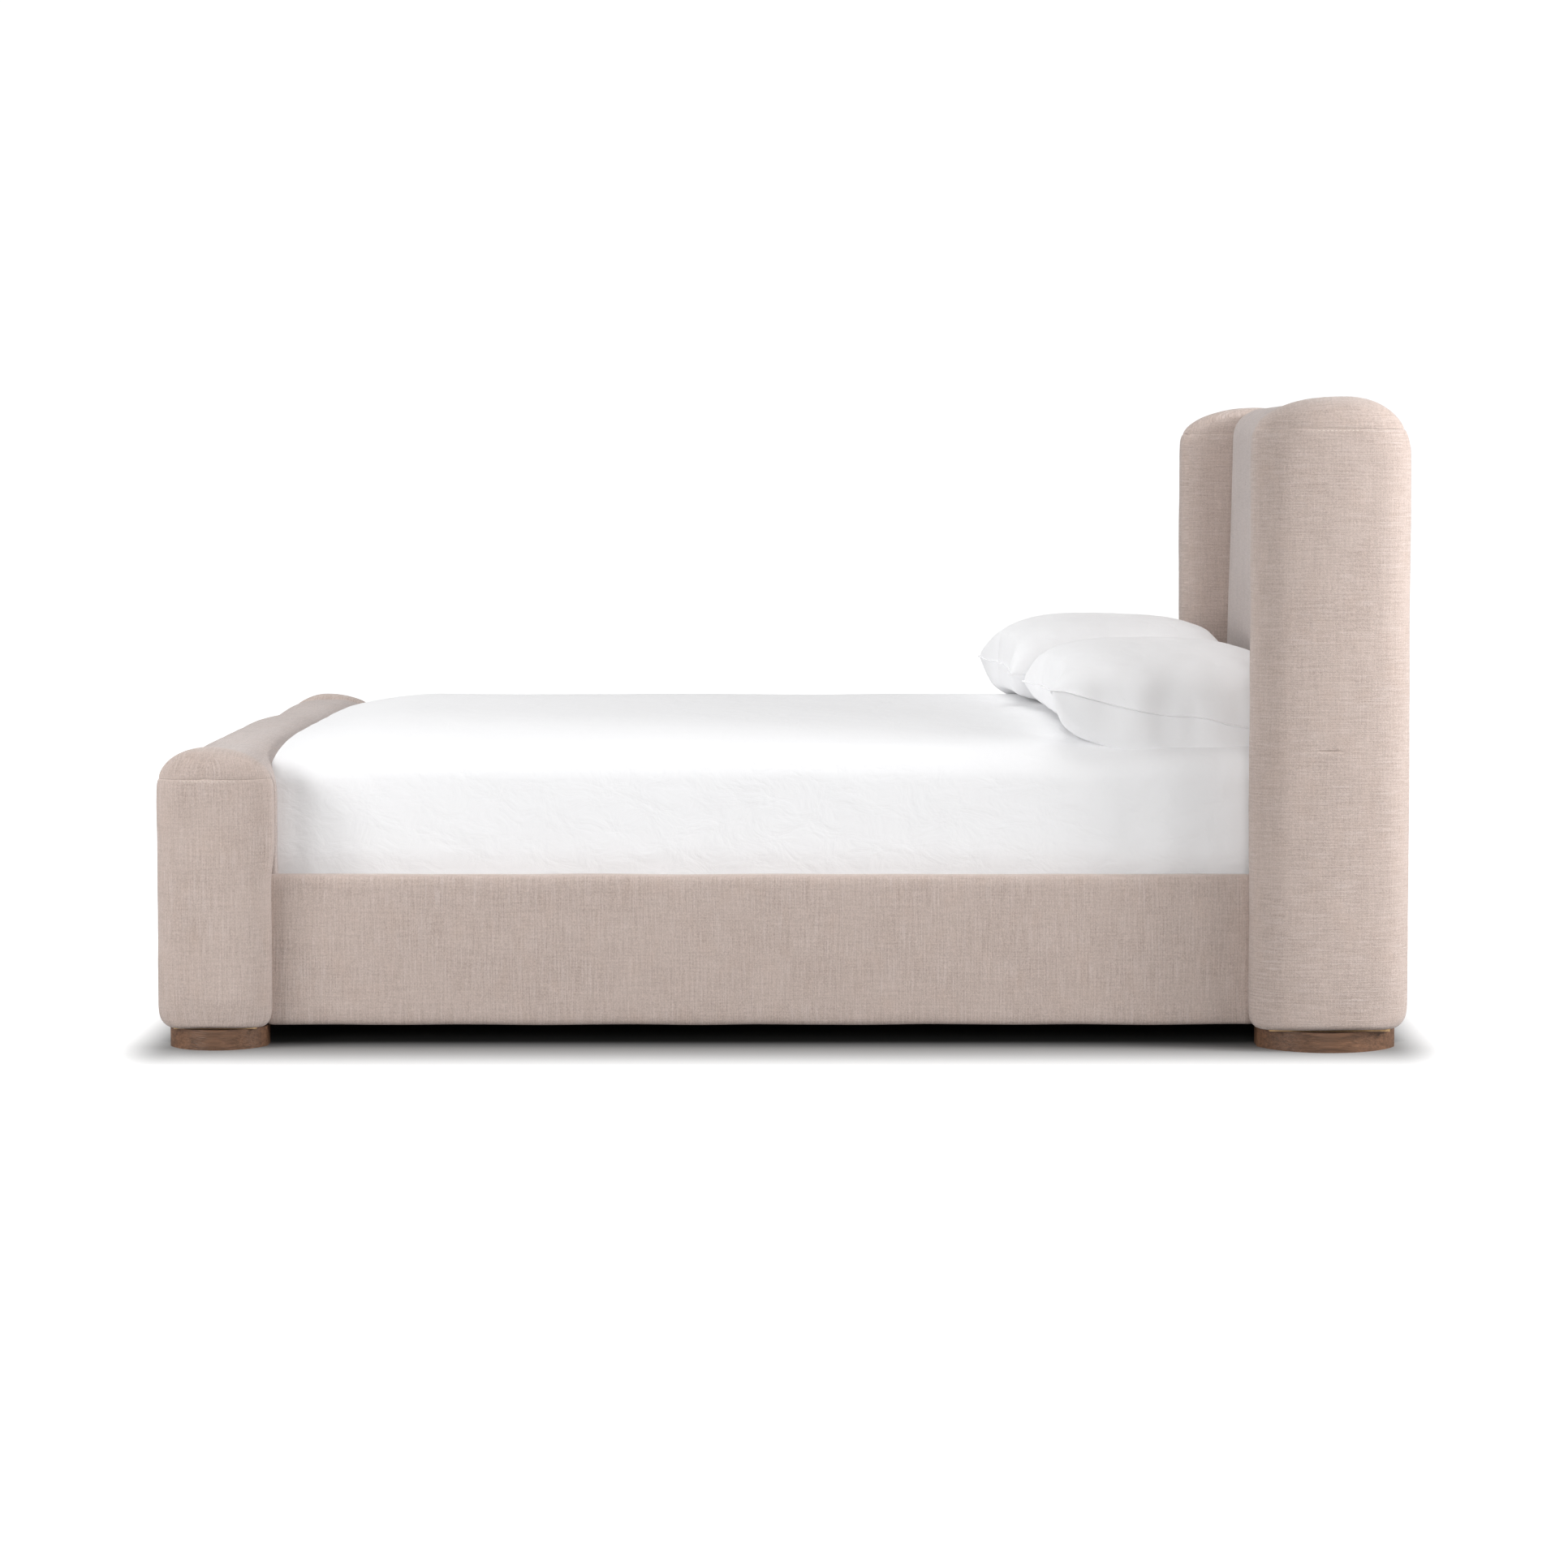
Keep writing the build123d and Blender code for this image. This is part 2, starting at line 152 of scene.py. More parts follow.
class Value:
    """A shader socket that can be used in plain arithmetic."""

    def __init__(self, finish, socket):
        self.finish = finish
        self.socket = socket

    def maths(self, operation, first, second):
        settings = {"operation": operation}
        return self.finish.node("ShaderNodeMath", settings, {0: first, 1: second})

    def __add__(self, other):
        return self.maths("ADD", self, other)

    def __radd__(self, other):
        return self.maths("ADD", other, self)

    def __sub__(self, other):
        return self.maths("SUBTRACT", self, other)

    def __rsub__(self, other):
        return self.maths("SUBTRACT", other, self)

    def __mul__(self, other):
        return self.maths("MULTIPLY", self, other)

    def __rmul__(self, other):
        return self.maths("MULTIPLY", other, self)

    def __truediv__(self, other):
        return self.maths("DIVIDE", self, other)

    def __pow__(self, other):
        return self.maths("POWER", self, other)


class Finish:
    """One material, or the studio's surround, wired node by node."""

    def __init__(self, name, kind="materials"):
        self.block = getattr(bpy.data, kind).new(name)
        self.block.use_nodes = True
        self.tree = self.block.node_tree
        self.tree.nodes.clear()

    def node(self, kind, settings=None, inputs=None, output=0):
        """Adds a node: its settings first, then the values or links of its sockets."""
        node = self.tree.nodes.new(kind)
        for key, value in (settings or {}).items():
            setattr(node, key, value)
        for key, value in (inputs or {}).items():
            if isinstance(value, Value):
                self.tree.links.new(value.socket, node.inputs[key])
            else:
                node.inputs[key].default_value = value
        return Value(self, node.outputs[output]) if len(node.outputs) else None

    def split(self, vector):
        """The three numbers of a vector."""
        return [self.node("ShaderNodeSeparateXYZ", {}, {0: vector}, i) for i in range(3)]

    def cloth_uv(self):
        """Distance along the cloth and across it, in metres."""
        uv = self.node("ShaderNodeUVMap", {"uv_map": "Cloth"})
        return self.split(uv)[:2]

    def place(self):
        """The three object coordinates, in metres."""
        return self.split(self.node("ShaderNodeTexCoord", {}, {}, 3))

    def grain(self, x, y, z=0.0, detail=2.0, rough=0.5, warp=0.0):
        """Noise from 0 to 1 over scaled coordinates."""
        at = self.node("ShaderNodeCombineXYZ", {}, {0: x, 1: y, 2: z})
        inputs = {"Vector": at, "Scale": 1.0, "Detail": detail}
        inputs.update({"Roughness": rough, "Distortion": warp})
        return self.node("ShaderNodeTexNoise", {"noise_dimensions": "3D"}, inputs)

    def wave(self, x, length):
        """A sine wave of the given length, from -1 to 1."""
        turn = x * (2 * math.pi / length)
        return self.node("ShaderNodeMath", {"operation": "SINE"}, {0: turn})

    def bounded(self, x):
        """The number kept between 0 and 1."""
        return self.node("ShaderNodeClamp", {}, {0: x})

    def outside(self, x, half):
        """How far a coordinate lies outside a band about zero."""
        size = self.node("ShaderNodeMath", {"operation": "ABSOLUTE"}, {0: x})
        return self.node("ShaderNodeMath", {"operation": "MAXIMUM"}, {0: size - half, 1: 0.0})

    def attribute(self, name):
        """A number stored at each point of the piece."""
        return self.node("ShaderNodeAttribute", {"attribute_name": name}, {}, 2)

    def mix(self, amount, first, second):
        """Colour mix: first at 0, second at 1."""
        pair = [c if isinstance(c, Value) else (*c, 1) for c in (first, second)]
        inputs = {0: amount, 6: pair[0], 7: pair[1]}
        return self.node("ShaderNodeMix", {"data_type": "RGBA"}, inputs, 2)

    def finish(self, colour, roughness, height=None, depth=0.001, **constants):
        """Ends the material with its surface shader, and a bump where there is a height."""
        inputs = {"Base Color": colour, "Roughness": roughness}
        if height is not None:
            bump = {"Height": height, "Distance": depth, "Strength": 1.0}
            inputs["Normal"] = self.node("ShaderNodeBump", {}, bump)
        for name, value in constants.items():
            inputs[name.replace("_", " ")] = value
        shader = self.node("ShaderNodeBsdfPrincipled", {}, inputs)
        self.node("ShaderNodeOutputMaterial", {}, {"Surface": shader})
        return self.block


def scaled(colour, amount):
    """A colour made lighter or darker."""
    return tuple(c * amount for c in colour)


def blended(first, second, share):
    """A colour part of the way from the first to the second."""
    return tuple(a * (1 - share) + b * share for a, b in zip(first, second))


def linen(name, slubs_along, painted_light_grey=0.0):
    """Slubby plain-weave upholstery linen; its thick threads run along U or V.

    The third argument leans the colour from warm blush towards grey: painted light, the cooler
    cast that panels facing the foot and the sky take on.
    """
    f = Finish(name)
    u, v = f.cloth_uv()
    if slubs_along == "V":
        u, v = v, u
    salt = f.grain(u / 0.0030, v / 0.0026, 1.3, detail=1.5, rough=0.6)
    slub = f.grain(u / 0.090, v / 0.0034, 0.0, detail=2.0, rough=0.55)
    hair = f.grain(u / 0.045, v / 0.0021, 3.1, detail=1.0)
    warp = f.grain(u / 0.0032, v / 0.060, 7.7, detail=2.0)
    tone = 0.5 + (salt - 0.5) * 1.20 + (slub - 0.5) * 0.75 + (warp - 0.5) * 0.50
    tone = f.bounded(tone + (hair - 0.5) * 0.45)
    # painted light: the grey that the headboard and footboard cloth lean towards
    grey = (0.56, 0.53, 0.535)
    light = blended(finishes().linen_light, scaled(grey, 1.16), painted_light_grey)
    dark = blended(finishes().linen_dark, scaled(grey, 0.66), painted_light_grey)
    colour = f.mix(tone, dark, light)
    x, y, z = f.place()
    cloud = f.grain(x / 0.13, y / 0.13, z / 0.13, detail=3.0)
    colour = f.mix(f.bounded((cloud - 0.42) * 2.4) * 0.30, colour, scaled(light, 0.93))
    streak = f.bounded((slub * 0.6 + hair * 0.4 - 0.50) * 5.0)
    colour = f.mix(streak * (1 - cloud) * 0.42, colour, (0.60, 0.565, 0.575))
    warmth = f.grain(x / 0.045, y / 0.045, z / 0.07 + 4.0, detail=2.0)
    colour = f.mix(f.bounded((warmth - 0.52) * 3.0) * 0.16, colour, (0.60, 0.44, 0.35))
    # Painted highlight: the cloth is paler along the cap seams and the rails' top edges, where
    # light catches them.
    colour = f.mix(f.attribute("painted_highlight") * 0.45, colour, scaled(light, 1.15))
    weave = f.wave(u, 0.0026) * f.wave(v, 0.0024)
    height = weave * 0.22 + slub * 0.8 + warp * 0.45 + salt * 0.55
    return f.finish(
        colour,
        0.88 + (tone - 0.5) * 0.12,
        height,
        0.0008,
        Sheen_Weight=0.28,
        Sheen_Roughness=0.40,
        Specular_IOR_Level=0.22,
    )


def cotton(name, wrinkle=1.0):
    """Fine white bedding cotton with soft creases."""
    f = Finish(name)
    u, v = f.cloth_uv()
    x, y, z = f.place()
    base = tuple(finishes().cotton)
    crease = f.grain(x / 0.09, y / 0.07, z / 0.05, detail=4.0, rough=0.55, warp=0.6)
    soft = f.grain(x / 0.3, y / 0.3, z / 0.2, detail=2.0)
    thread = f.grain(u / 0.0014, v / 0.0014, detail=1.0)
    colour = f.mix(f.bounded((soft - 0.4) * 2.0) * 0.35, base, scaled(base, 0.955))
    colour = f.mix(thread * 0.12, colour, scaled(base, 0.90))
    height = crease * wrinkle + thread * 0.05
    return f.finish(
        colour,
        0.82 + (thread - 0.5) * 0.1,
        height,
        0.004,
        Sheen_Weight=0.12,
        Specular_IOR_Level=0.3,
    )


def ticking(name):
    """Off-white mattress ticking with a fine woven stripe."""
    f = Finish(name)
    x, y, z = f.place()
    stripe = f.wave(x, 0.024)
    band = f.bounded(stripe * 4.0 - 2.6)
    knit = f.grain(x / 0.0016, y / 0.004, z / 0.004, detail=1.0)
    colour = f.mix(band * 0.5, (0.78, 0.77, 0.73), (0.55, 0.56, 0.58))
    colour = f.mix(knit * 0.25, colour, (0.62, 0.60, 0.56))
    return f.finish(colour, 0.85, knit, 0.0006, Sheen_Weight=0.1)


def timber(name, pale, deep, along, ring=0.012, roughness=0.55):
    """Sawn wood with grain along one axis: 0 for X, 1 for Y, 2 for Z."""
    f = Finish(name)
    at = f.place()
    stretched = [c / (0.5 if i == along else ring) for i, c in enumerate(at)]
    growth = f.grain(*stretched, detail=3.0, rough=0.6, warp=0.8)
    streaky = [c / (0.22 if i == along else 0.0025) for i, c in enumerate(at)]
    fibre = f.grain(*streaky, detail=2.0, rough=0.6)
    tone = f.bounded((growth - 0.5) * 2.2 + 0.5)
    colour = f.mix(tone, pale, deep)
    colour = f.mix(fibre * 0.45, colour, scaled(deep, 0.8))
    rough = roughness + (fibre - 0.5) * 0.2
    return f.finish(colour, rough, growth * 0.4 + fibre, 0.0006)


def brushed_steel(name):
    """Zinc-plated sheet steel with a faint brushed grain."""
    f = Finish(name)
    x, y, z = f.place()
    brush = f.grain(x / 0.0008, y / 0.05, z / 0.0012, detail=2.0)
    bloom = f.grain(x / 0.03, y / 0.03, z / 0.03, detail=2.0)
    colour = f.mix(bloom, (0.56, 0.57, 0.58), (0.66, 0.65, 0.62))
    return f.finish(colour, 0.34 + (brush - 0.5) * 0.25, brush, 0.0002, Metallic=1.0)


def moulded_plastic(name):
    """Black moulded nylon with a light sparked texture."""
    f = Finish(name)
    x, y, z = f.place()
    spark = f.grain(x / 0.0009, y / 0.0009, z / 0.0009, detail=2.0)
    colour = f.mix(spark, (0.016, 0.016, 0.017), (0.03, 0.03, 0.032))
    return f.finish(colour, 0.5 + (spark - 0.5) * 0.3, spark, 0.0002)


def foam(name):
    """Cream polyurethane foam with open cells."""
    f = Finish(name)
    x, y, z = f.place()
    cells = f.grain(x / 0.0018, y / 0.0018, z / 0.0018, detail=2.0)
    colour = f.mix(cells, (0.72, 0.62, 0.36), (0.86, 0.78, 0.52))
    return f.finish(colour, 0.95, cells, 0.0008)


def webbing(name):
    """Cream woven strap."""
    f = Finish(name)
    x, y, z = f.place()
    rib = f.wave(y, 0.004)
    colour = f.mix(f.bounded(rib) * 0.6, (0.60, 0.57, 0.50), (0.36, 0.34, 0.30))
    return f.finish(colour, 0.9, rib, 0.0004)


def thread(name):
    """Pale waxed upholstery thread."""
    f = Finish(name)
    x, y, z = f.place()
    twist = f.grain((x + y) / 0.0009, z / 0.0009, 0.0, detail=1.0)
    colour = f.mix(twist, (0.62, 0.54, 0.48), (0.80, 0.73, 0.66))
    return f.finish(colour, 0.6, twist, 0.0003, Sheen_Weight=0.2)


# ---------------------------------------------------------------- shapes


def eased(t):
    """0 below 0, 1 above 1, and smooth between."""
    t = np.clip(t, 0.0, 1.0)
    return t * t * (3 - 2 * t)


def rounded_loop(corners, counts):
    """Points round four corners (a, b, radius), anticlockwise, with counts on each side.

    A side runs from the middle of one corner's arc to the middle of the next.
    """
    points = [np.array(c[:2], float) for c in corners]
    arcs = []
    for k in range(4):
        into = points[k] - points[k - 1]
        out = points[(k + 1) % 4] - points[k]
        into, out = into / np.linalg.norm(into), out / np.linalg.norm(out)
        turn = math.acos(float(np.clip(into @ out, -1, 1)))
        reach = corners[k][2] * math.tan(turn / 2)
        normal = np.array([-into[1], into[0]])
        start = points[k] - into * reach
        centre = start + normal * corners[k][2]
        arcs.append((start, points[k] + out * reach, centre, corners[k][2], turn, -normal))

    def on_arc(k, angle):
        centre, radius, spoke = arcs[k][2], arcs[k][3], arcs[k][5]
        c, s = math.cos(angle), math.sin(angle)
        turned = (c * spoke[0] - s * spoke[1], s * spoke[0] + c * spoke[1])
        return centre + radius * np.array(turned)

    loop = []
    for k in range(4):
        after = (k + 1) % 4
        first = arcs[k][3] * arcs[k][4] / 2
        straight = float(np.linalg.norm(arcs[after][0] - arcs[k][1]))
        last = arcs[after][3] * arcs[after][4] / 2
        for i in range(counts[k]):
            far = (first + straight + last) * i / counts[k]
            if far < first:
                loop.append(on_arc(k, arcs[k][4] / 2 + far / arcs[k][3]))
            elif far < first + straight:
                share = (far - first) / straight
                loop.append(arcs[k][1] * (1 - share) + arcs[after][0] * share)
            else:
                loop.append(on_arc(after, (far - first - straight) / arcs[after][3]))
    return np.array(loop)


def box_loop(a0, a1, b0, b1, radii, counts):
    """A rounded rectangle as evenly spaced points, each side between corner middles."""
    corners = list(zip((a0, a1, a1, a0), (b0, b0, b1, b1), radii))
    return rounded_loop(corners, [counts[0], counts[1], counts[0], counts[1]])


def domed_loop(low, high, feet, front, rear, counts):
    """The side outline of a wing or post: rounded feet and a lopsided domed top.

    front and rear are (length, height) of the quarter ovals that end the dome.
    """
    points, marks = [], []

    def arc(centre, size, start, end, mark=None):
        for i in range(25):
            angle = math.radians(start + (end - start) * i / 24)
            if i == 12 and mark is not None:
                marks.append(len(points))
            x, y = math.cos(angle), math.sin(angle)
            points.append((centre[0] + size[0] * x, centre[1] + size[1] * y))

    front_foot, rear_foot = feet
    arc((low[0] + front_foot, low[1] + front_foot), (front_foot,) * 2, 180, 270, 0)
    arc((high[0] - rear_foot, low[1] + rear_foot), (rear_foot,) * 2, 270, 360, 1)
    arc((high[0] - rear[0], high[1] - rear[1]), rear, 0, 90, 2)
    arc((low[0] + front[0], high[1] - front[1]), front, 90, 180, 3)
    points = np.array(points)
    return resampled(points, marks, [counts[0], counts[1], counts[0], counts[1]])


def resampled(points, marks, counts):
    """Evenly spaced points along a closed line, counted from mark to mark."""
    loop = []
    for k, mark in enumerate(marks):
        end = marks[(k + 1) % len(marks)]
        size = (end - mark) % len(points)
        run = points[[(mark + i) % len(points) for i in range(size + 1)]]
        steps = np.linalg.norm(np.diff(run, axis=0), axis=1)
        far = np.concatenate([[0], np.cumsum(steps)])
        want = np.linspace(0, far[-1], counts[k] + 1)[:-1]
        loop.append(np.stack([np.interp(want, far, run[:, i]) for i in range(2)], axis=1))
    return np.concatenate(loop)


def moved_in(loop, inset, foot):
    """The loop drawn in by the inset, and by a share of it, foot, at its bottom."""
    low, high = loop.min(0), loop.max(0)
    across = (low[0] + high[0]) / 2
    a = across + (loop[:, 0] - across) * (1 - 2 * inset / (high[0] - low[0]))
    height = high[1] - low[1]
    b = low[1] + inset * foot + (loop[:, 1] - low[1]) * (1 - inset * (1 + foot) / height)
    return np.stack([a, b], axis=1)


def filled(ring, counts):
    """A grid of points inside a four-sided ring, edges included (Coons patch)."""
    n, m = counts[0], counts[1]
    south = ring[: n + 1]
    east = ring[n : n + m + 1]
    north = ring[n + m : 2 * n + m + 1][::-1]
    west = np.concatenate([ring[2 * n + m :], ring[:1]])[::-1]
    s = np.linspace(0, 1, n + 1)[:, None, None]
    t = np.linspace(0, 1, m + 1)[None, :, None]
    ruled_t = (1 - t) * south[:, None] + t * north[:, None]
    ruled_s = (1 - s) * west[None] + s * east[None]
    corners = (1 - s) * (1 - t) * south[0] + s * (1 - t) * south[-1]
    corners = corners + (1 - s) * t * north[0] + s * t * north[-1]
    return ruled_t + ruled_s - corners


def padded_form(name, loop, levels, counts, place, keep_ends=(True, True), foot=1.0):
    """A closed soft form: one loop repeated along levels, with gridded ends.

    levels are (distance, inset); place turns arrays of loop a, loop b, distance and
    inset into points.
    """
    size = len(loop)
    rings = [moved_in(loop, inset, foot) for _, inset in levels]
    flat = [(*p, d, i) for ring, (d, i) in zip(rings, levels) for p in ring]
    faces = []
    for k in range(len(rings) - 1):
        for i in range(size):
            j = (i + 1) % size
            low, high = k * size, (k + 1) * size
            faces.append((low + i, low + j, high + j, high + i))
    n, m = counts
    for keep, ring_at in zip(keep_ends, (0, len(rings) - 1)):
        if not keep:
            continue
        grid = filled(rings[ring_at], counts)
        index = np.zeros((n + 1, m + 1), int)
        for i in range(n + 1):
            for j in range(m + 1):
                if j == 0:
                    spot = i
                elif i == n:
                    spot = n + j
                elif j == m:
                    spot = n + m + (n - i)
                elif i == 0:
                    spot = 2 * n + m + (m - j)
                else:
                    index[i, j] = len(flat)
                    flat.append((*grid[i, j], *levels[ring_at]))
                    continue
                index[i, j] = ring_at * size + spot % size
        for i in range(n):
            for j in range(m):
                corners = (index[i, j], index[i + 1, j], index[i + 1, j + 1], index[i, j + 1])
                faces.append(tuple(int(c) for c in corners))
    flat = np.array(flat)
    spots = place(flat[:, 0], flat[:, 1], flat[:, 2], flat[:, 3])
    mesh = bpy.data.meshes.new(name)
    mesh.from_pydata([tuple(p) for p in spots], [], faces)
    return settle(name, mesh)


def lay_cloth(piece, outer, front):
    """Lays the woven cloth round a piece: its map runs round the piece, and up it.

    outer is the distance of its outer side from the bed's middle, and front is where
    its nearer end stands. The map is in metres, and it turns the corners unbroken.
    """
    mesh = piece.data
    layer = mesh.uv_layers.get("Cloth") or mesh.uv_layers.new(name="Cloth")
    middle = sum((v.co.y for v in mesh.vertices)) / len(mesh.vertices)
    for polygon in mesh.polygons:
        normal, centre = polygon.normal, polygon.center
        inward = normal.x * centre.x < 0
        for loop in polygon.loop_indices:
            x, y, z = mesh.vertices[mesh.loops[loop].vertex_index].co
            depth = outer - abs(x)
            if abs(normal.z) > max(abs(normal.y), 0.62):
                spot = (y, z + depth)
            elif abs(normal.y) > abs(normal.x):
                spot = (y + math.copysign(depth, normal.y), z)
            elif inward:
                spot = (2 * front - y - depth, z)
            else:
                spot = (y + math.copysign(depth, centre.y - middle), z)
            layer.data[loop].uv = spot


def lay_panel_cloth(piece):
    """Lays the cloth over a panel or rail: across the bed, and up over its top."""
    mesh = piece.data
    layer = mesh.uv_layers.get("Cloth") or mesh.uv_layers.new(name="Cloth")
    for polygon in mesh.polygons:
        normal = polygon.normal
        for loop in polygon.loop_indices:
            x, y, z = mesh.vertices[mesh.loops[loop].vertex_index].co
            if abs(normal.z) > max(abs(normal.y), abs(normal.x), 0.6):
                spot = (x, z - y)
            elif abs(normal.y) > abs(normal.x):
                spot = (x, z)
            else:
                spot = (y, z)
            layer.data[loop].uv = spot


def cut_rings(piece, heights):
    """Cuts extra rings of points round a piece at the given heights."""
    shell = bmesh.new()
    shell.from_mesh(piece.data)
    for height in heights:
        bmesh.ops.bisect_plane(
            shell,
            geom=shell.verts[:] + shell.edges[:] + shell.faces[:],
            dist=1e-5,
            plane_co=(0, 0, height),
            plane_no=(0, 0, 1),
        )
    shell.to_mesh(piece.data)
    shell.free()


def split_at(piece, height, upper_name):
    """Parts a piece at a height: it keeps what is below, and a new piece takes the rest."""
    upper = bpy.data.objects.new(upper_name, piece.data.copy())
    bpy.context.scene.collection.objects.link(upper)
    for part, direction in ((piece, 1), (upper, -1)):
        shell = bmesh.new()
        shell.from_mesh(part.data)
        gone = [f for f in shell.faces if (f.calc_center_median().z - height) * direction > 0]
        bmesh.ops.delete(shell, geom=gone, context="FACES")
        rim = [e for e in shell.edges if e.is_boundary]
        turned = bmesh.ops.extrude_edge_only(shell, edges=rim)
        new = [v for v in turned["geom"] if isinstance(v, bmesh.types.BMVert)]
        middle = sum((v.co for v in new), Vector()) / len(new)
        for vertex in new:
            inwards = (middle - vertex.co).normalized()
            vertex.co += inwards * 0.012
            vertex.co.z -= 0.004 * direction
        shell.to_mesh(part.data)
        shell.free()
    return upper


def settle(name, mesh):
    """A new object for the mesh, with its faces turned outwards and shaded smooth."""
    shell = bmesh.new()
    shell.from_mesh(mesh)
    loose = [v for v in shell.verts if not v.link_faces]
    bmesh.ops.delete(shell, geom=loose, context="VERTS")
    bmesh.ops.recalc_face_normals(shell, faces=shell.faces)
    shell.to_mesh(mesh)
    shell.free()
    mesh.shade_smooth()
    piece = bpy.data.objects.new(name, mesh)
    bpy.context.scene.collection.objects.link(piece)
    return piece


def select_only(piece):
    """Makes the piece the only one selected, and the active one."""
    bpy.ops.object.select_all(action="DESELECT")
    piece.select_set(True)
    bpy.context.view_layer.objects.active = piece


def apply_modifier(piece, kind, **settings):
    """Adds one modifier to the piece and applies it."""
    modifier = piece.modifiers.new(kind.title(), kind)
    for key, value in settings.items():
        setattr(modifier, key, value)
    select_only(piece)
    bpy.ops.object.modifier_apply(modifier=modifier.name)


def softened(piece, height, scale, seed=0.0, stretch=(1, 1, 1)):
    """Moves each point along its normal by smooth noise, as uneven padding does."""
    mesh = piece.data
    normals = [v.normal.copy() for v in mesh.vertices]
    for vertex, normal in zip(mesh.vertices, normals):
        at = Vector([c * k / scale for c, k in zip(vertex.co, stretch)]) + Vector((seed,) * 3)
        push = noise.noise(at) + 0.4 * noise.noise(at * 2.7)
        vertex.co += normal * (push * height)
    mesh.update()


def painted_highlight_lines(piece, amount_at):
    """Stores how much painted highlight each point takes, from 0 to 1."""
    mesh = piece.data
    layer = mesh.attributes.new("painted_highlight", "FLOAT", "POINT")
    values = [float(amount_at(v.co)) for v in mesh.vertices]
    layer.data.foreach_set("value", values)


def dressed(piece, material, body, nodes):
    """Gives the piece its finish, its body and the parts that it stands for."""
    piece.data.materials.clear()
    piece.data.materials.append(material)
    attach(piece, body)
    if nodes:
        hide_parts(*nodes)
    return piece


def rounded_end(radius, at, inwards, steps=5):
    """Levels that round a form off over its end: (height, inset) pairs."""
    out = []
    for i in range(steps + 1):
        angle = math.pi / 2 * i / steps
        height = at + inwards * radius * (1 - math.sin(angle))
        out.append((height, radius * (1 - math.cos(angle))))
    return out


def even(low, high, spacing):
    """Numbers from low to high, both left out, about spacing apart."""
    count = max(2, round((high - low) / spacing))
    return [low + (high - low) * i / count for i in range(1, count)]


def across_levels(half_width, radius):
    """Levels over the width of a panel, rounded off at both ends."""
    ends = rounded_end(radius, -half_width, 1)
    levels = ends[::-1]
    levels += [(x, 0.0) for x in even(levels[-1][0], half_width - radius, 0.022)]
    return levels + [(-x, inset) for x, inset in ends]


# ---------------------------------------------------------------- wings and posts


def edge_levels(inner, outer, depth, inset, spacing):
    """Levels across a wing or post, rounded over at its inner and outer sides."""
    steps = 7
    levels = []
    for i in range(steps + 1):
        angle = math.pi / 2 * i / steps
        levels.append((inner + depth * (1 - math.cos(angle)), inset * (1 - math.sin(angle))))
    levels += [(x, 0.0) for x in even(inner + depth, outer - depth, spacing)]
    levels += [(inner + outer - x, i) for x, i in levels[: steps + 1][::-1]]
    return levels


def seamed(piece, seam, depth, flutter):
    """Pulls the cover in along the cap seam, a little unevenly, as the stitching does."""
    offsets = (0.016, 0.010, 0.006, 0.0035, 0.0018)
    above = [seam + o for o in offsets]
    below = [seam - o for o in reversed(offsets)]
    cut_rings(piece, [*above, seam, *below])
    mesh = piece.data
    mesh.update()
    normals = [v.normal.copy() for v in mesh.vertices]
    for vertex, normal in zip(mesh.vertices, normals):
        off = abs(vertex.co.z - seam)
        if off < 0.03:
            uneven = 1 + flutter * noise.noise(vertex.co * 28)
            pull = depth * uneven * math.exp(-((off / 0.0030) ** 2))
            pull += depth * 0.5 * uneven * math.exp(-((off / 0.012) ** 2))
            vertex.co -= normal * pull
    mesh.update()


def padded_upright(names, loop, counts, box, seam, round_over, crown, seed, sign, waist):
    """A padded wing or post: its cover up to the cap seam, and the cap above it.

    waist is how far its bed-side edge pulls in below the top of the side rail.
    """
    low, high = box
    middle = (low + high) / 2
    half = (high - low) / 2
    depth, inset = round_over

    def place(a, b, w, d):
        u = np.clip(np.abs(a - middle.y) / half.y, 0, 1)
        rise = np.clip((b - low.z) / (high.z - low.z), 0, 1)
        outer = np.clip((w - middle.x) / half.x, 0, 1)
        inner = np.clip((middle.x - w) / half.x, 0, 1)
        pulled = eased((0.10 - rise) / 0.10) * 0.006
        a = a - waist * eased((0.40 - b) / 0.07) * eased((a - middle.y) / half.y)
        x = w - (crown * u**2.2 + pulled) * outer + 0.35 * crown * u**2.2 * inner
        return np.stack([sign * x, a, b], axis=1)

    levels = edge_levels(low.x, high.x, depth, inset, 0.018)
    cover = padded_form(names[0], loop, levels, counts, place, foot=0.22)
    apply_modifier(cover, "SMOOTH", factor=0.5, iterations=4)
    apply_modifier(cover, "SUBSURF", levels=1, render_levels=1)
    softened(cover, sizes().lumps, 0.17, seed=seed, stretch=(1, 1, 0.55))
    softened(cover, sizes().lumps * 0.35, 0.05, seed=seed + 9, stretch=(1, 1, 0.8))
    seamed(cover, seam, sizes().seam_depth, 0.5)
    cap = split_at(cover, seam, names[1])
    return cover, cap


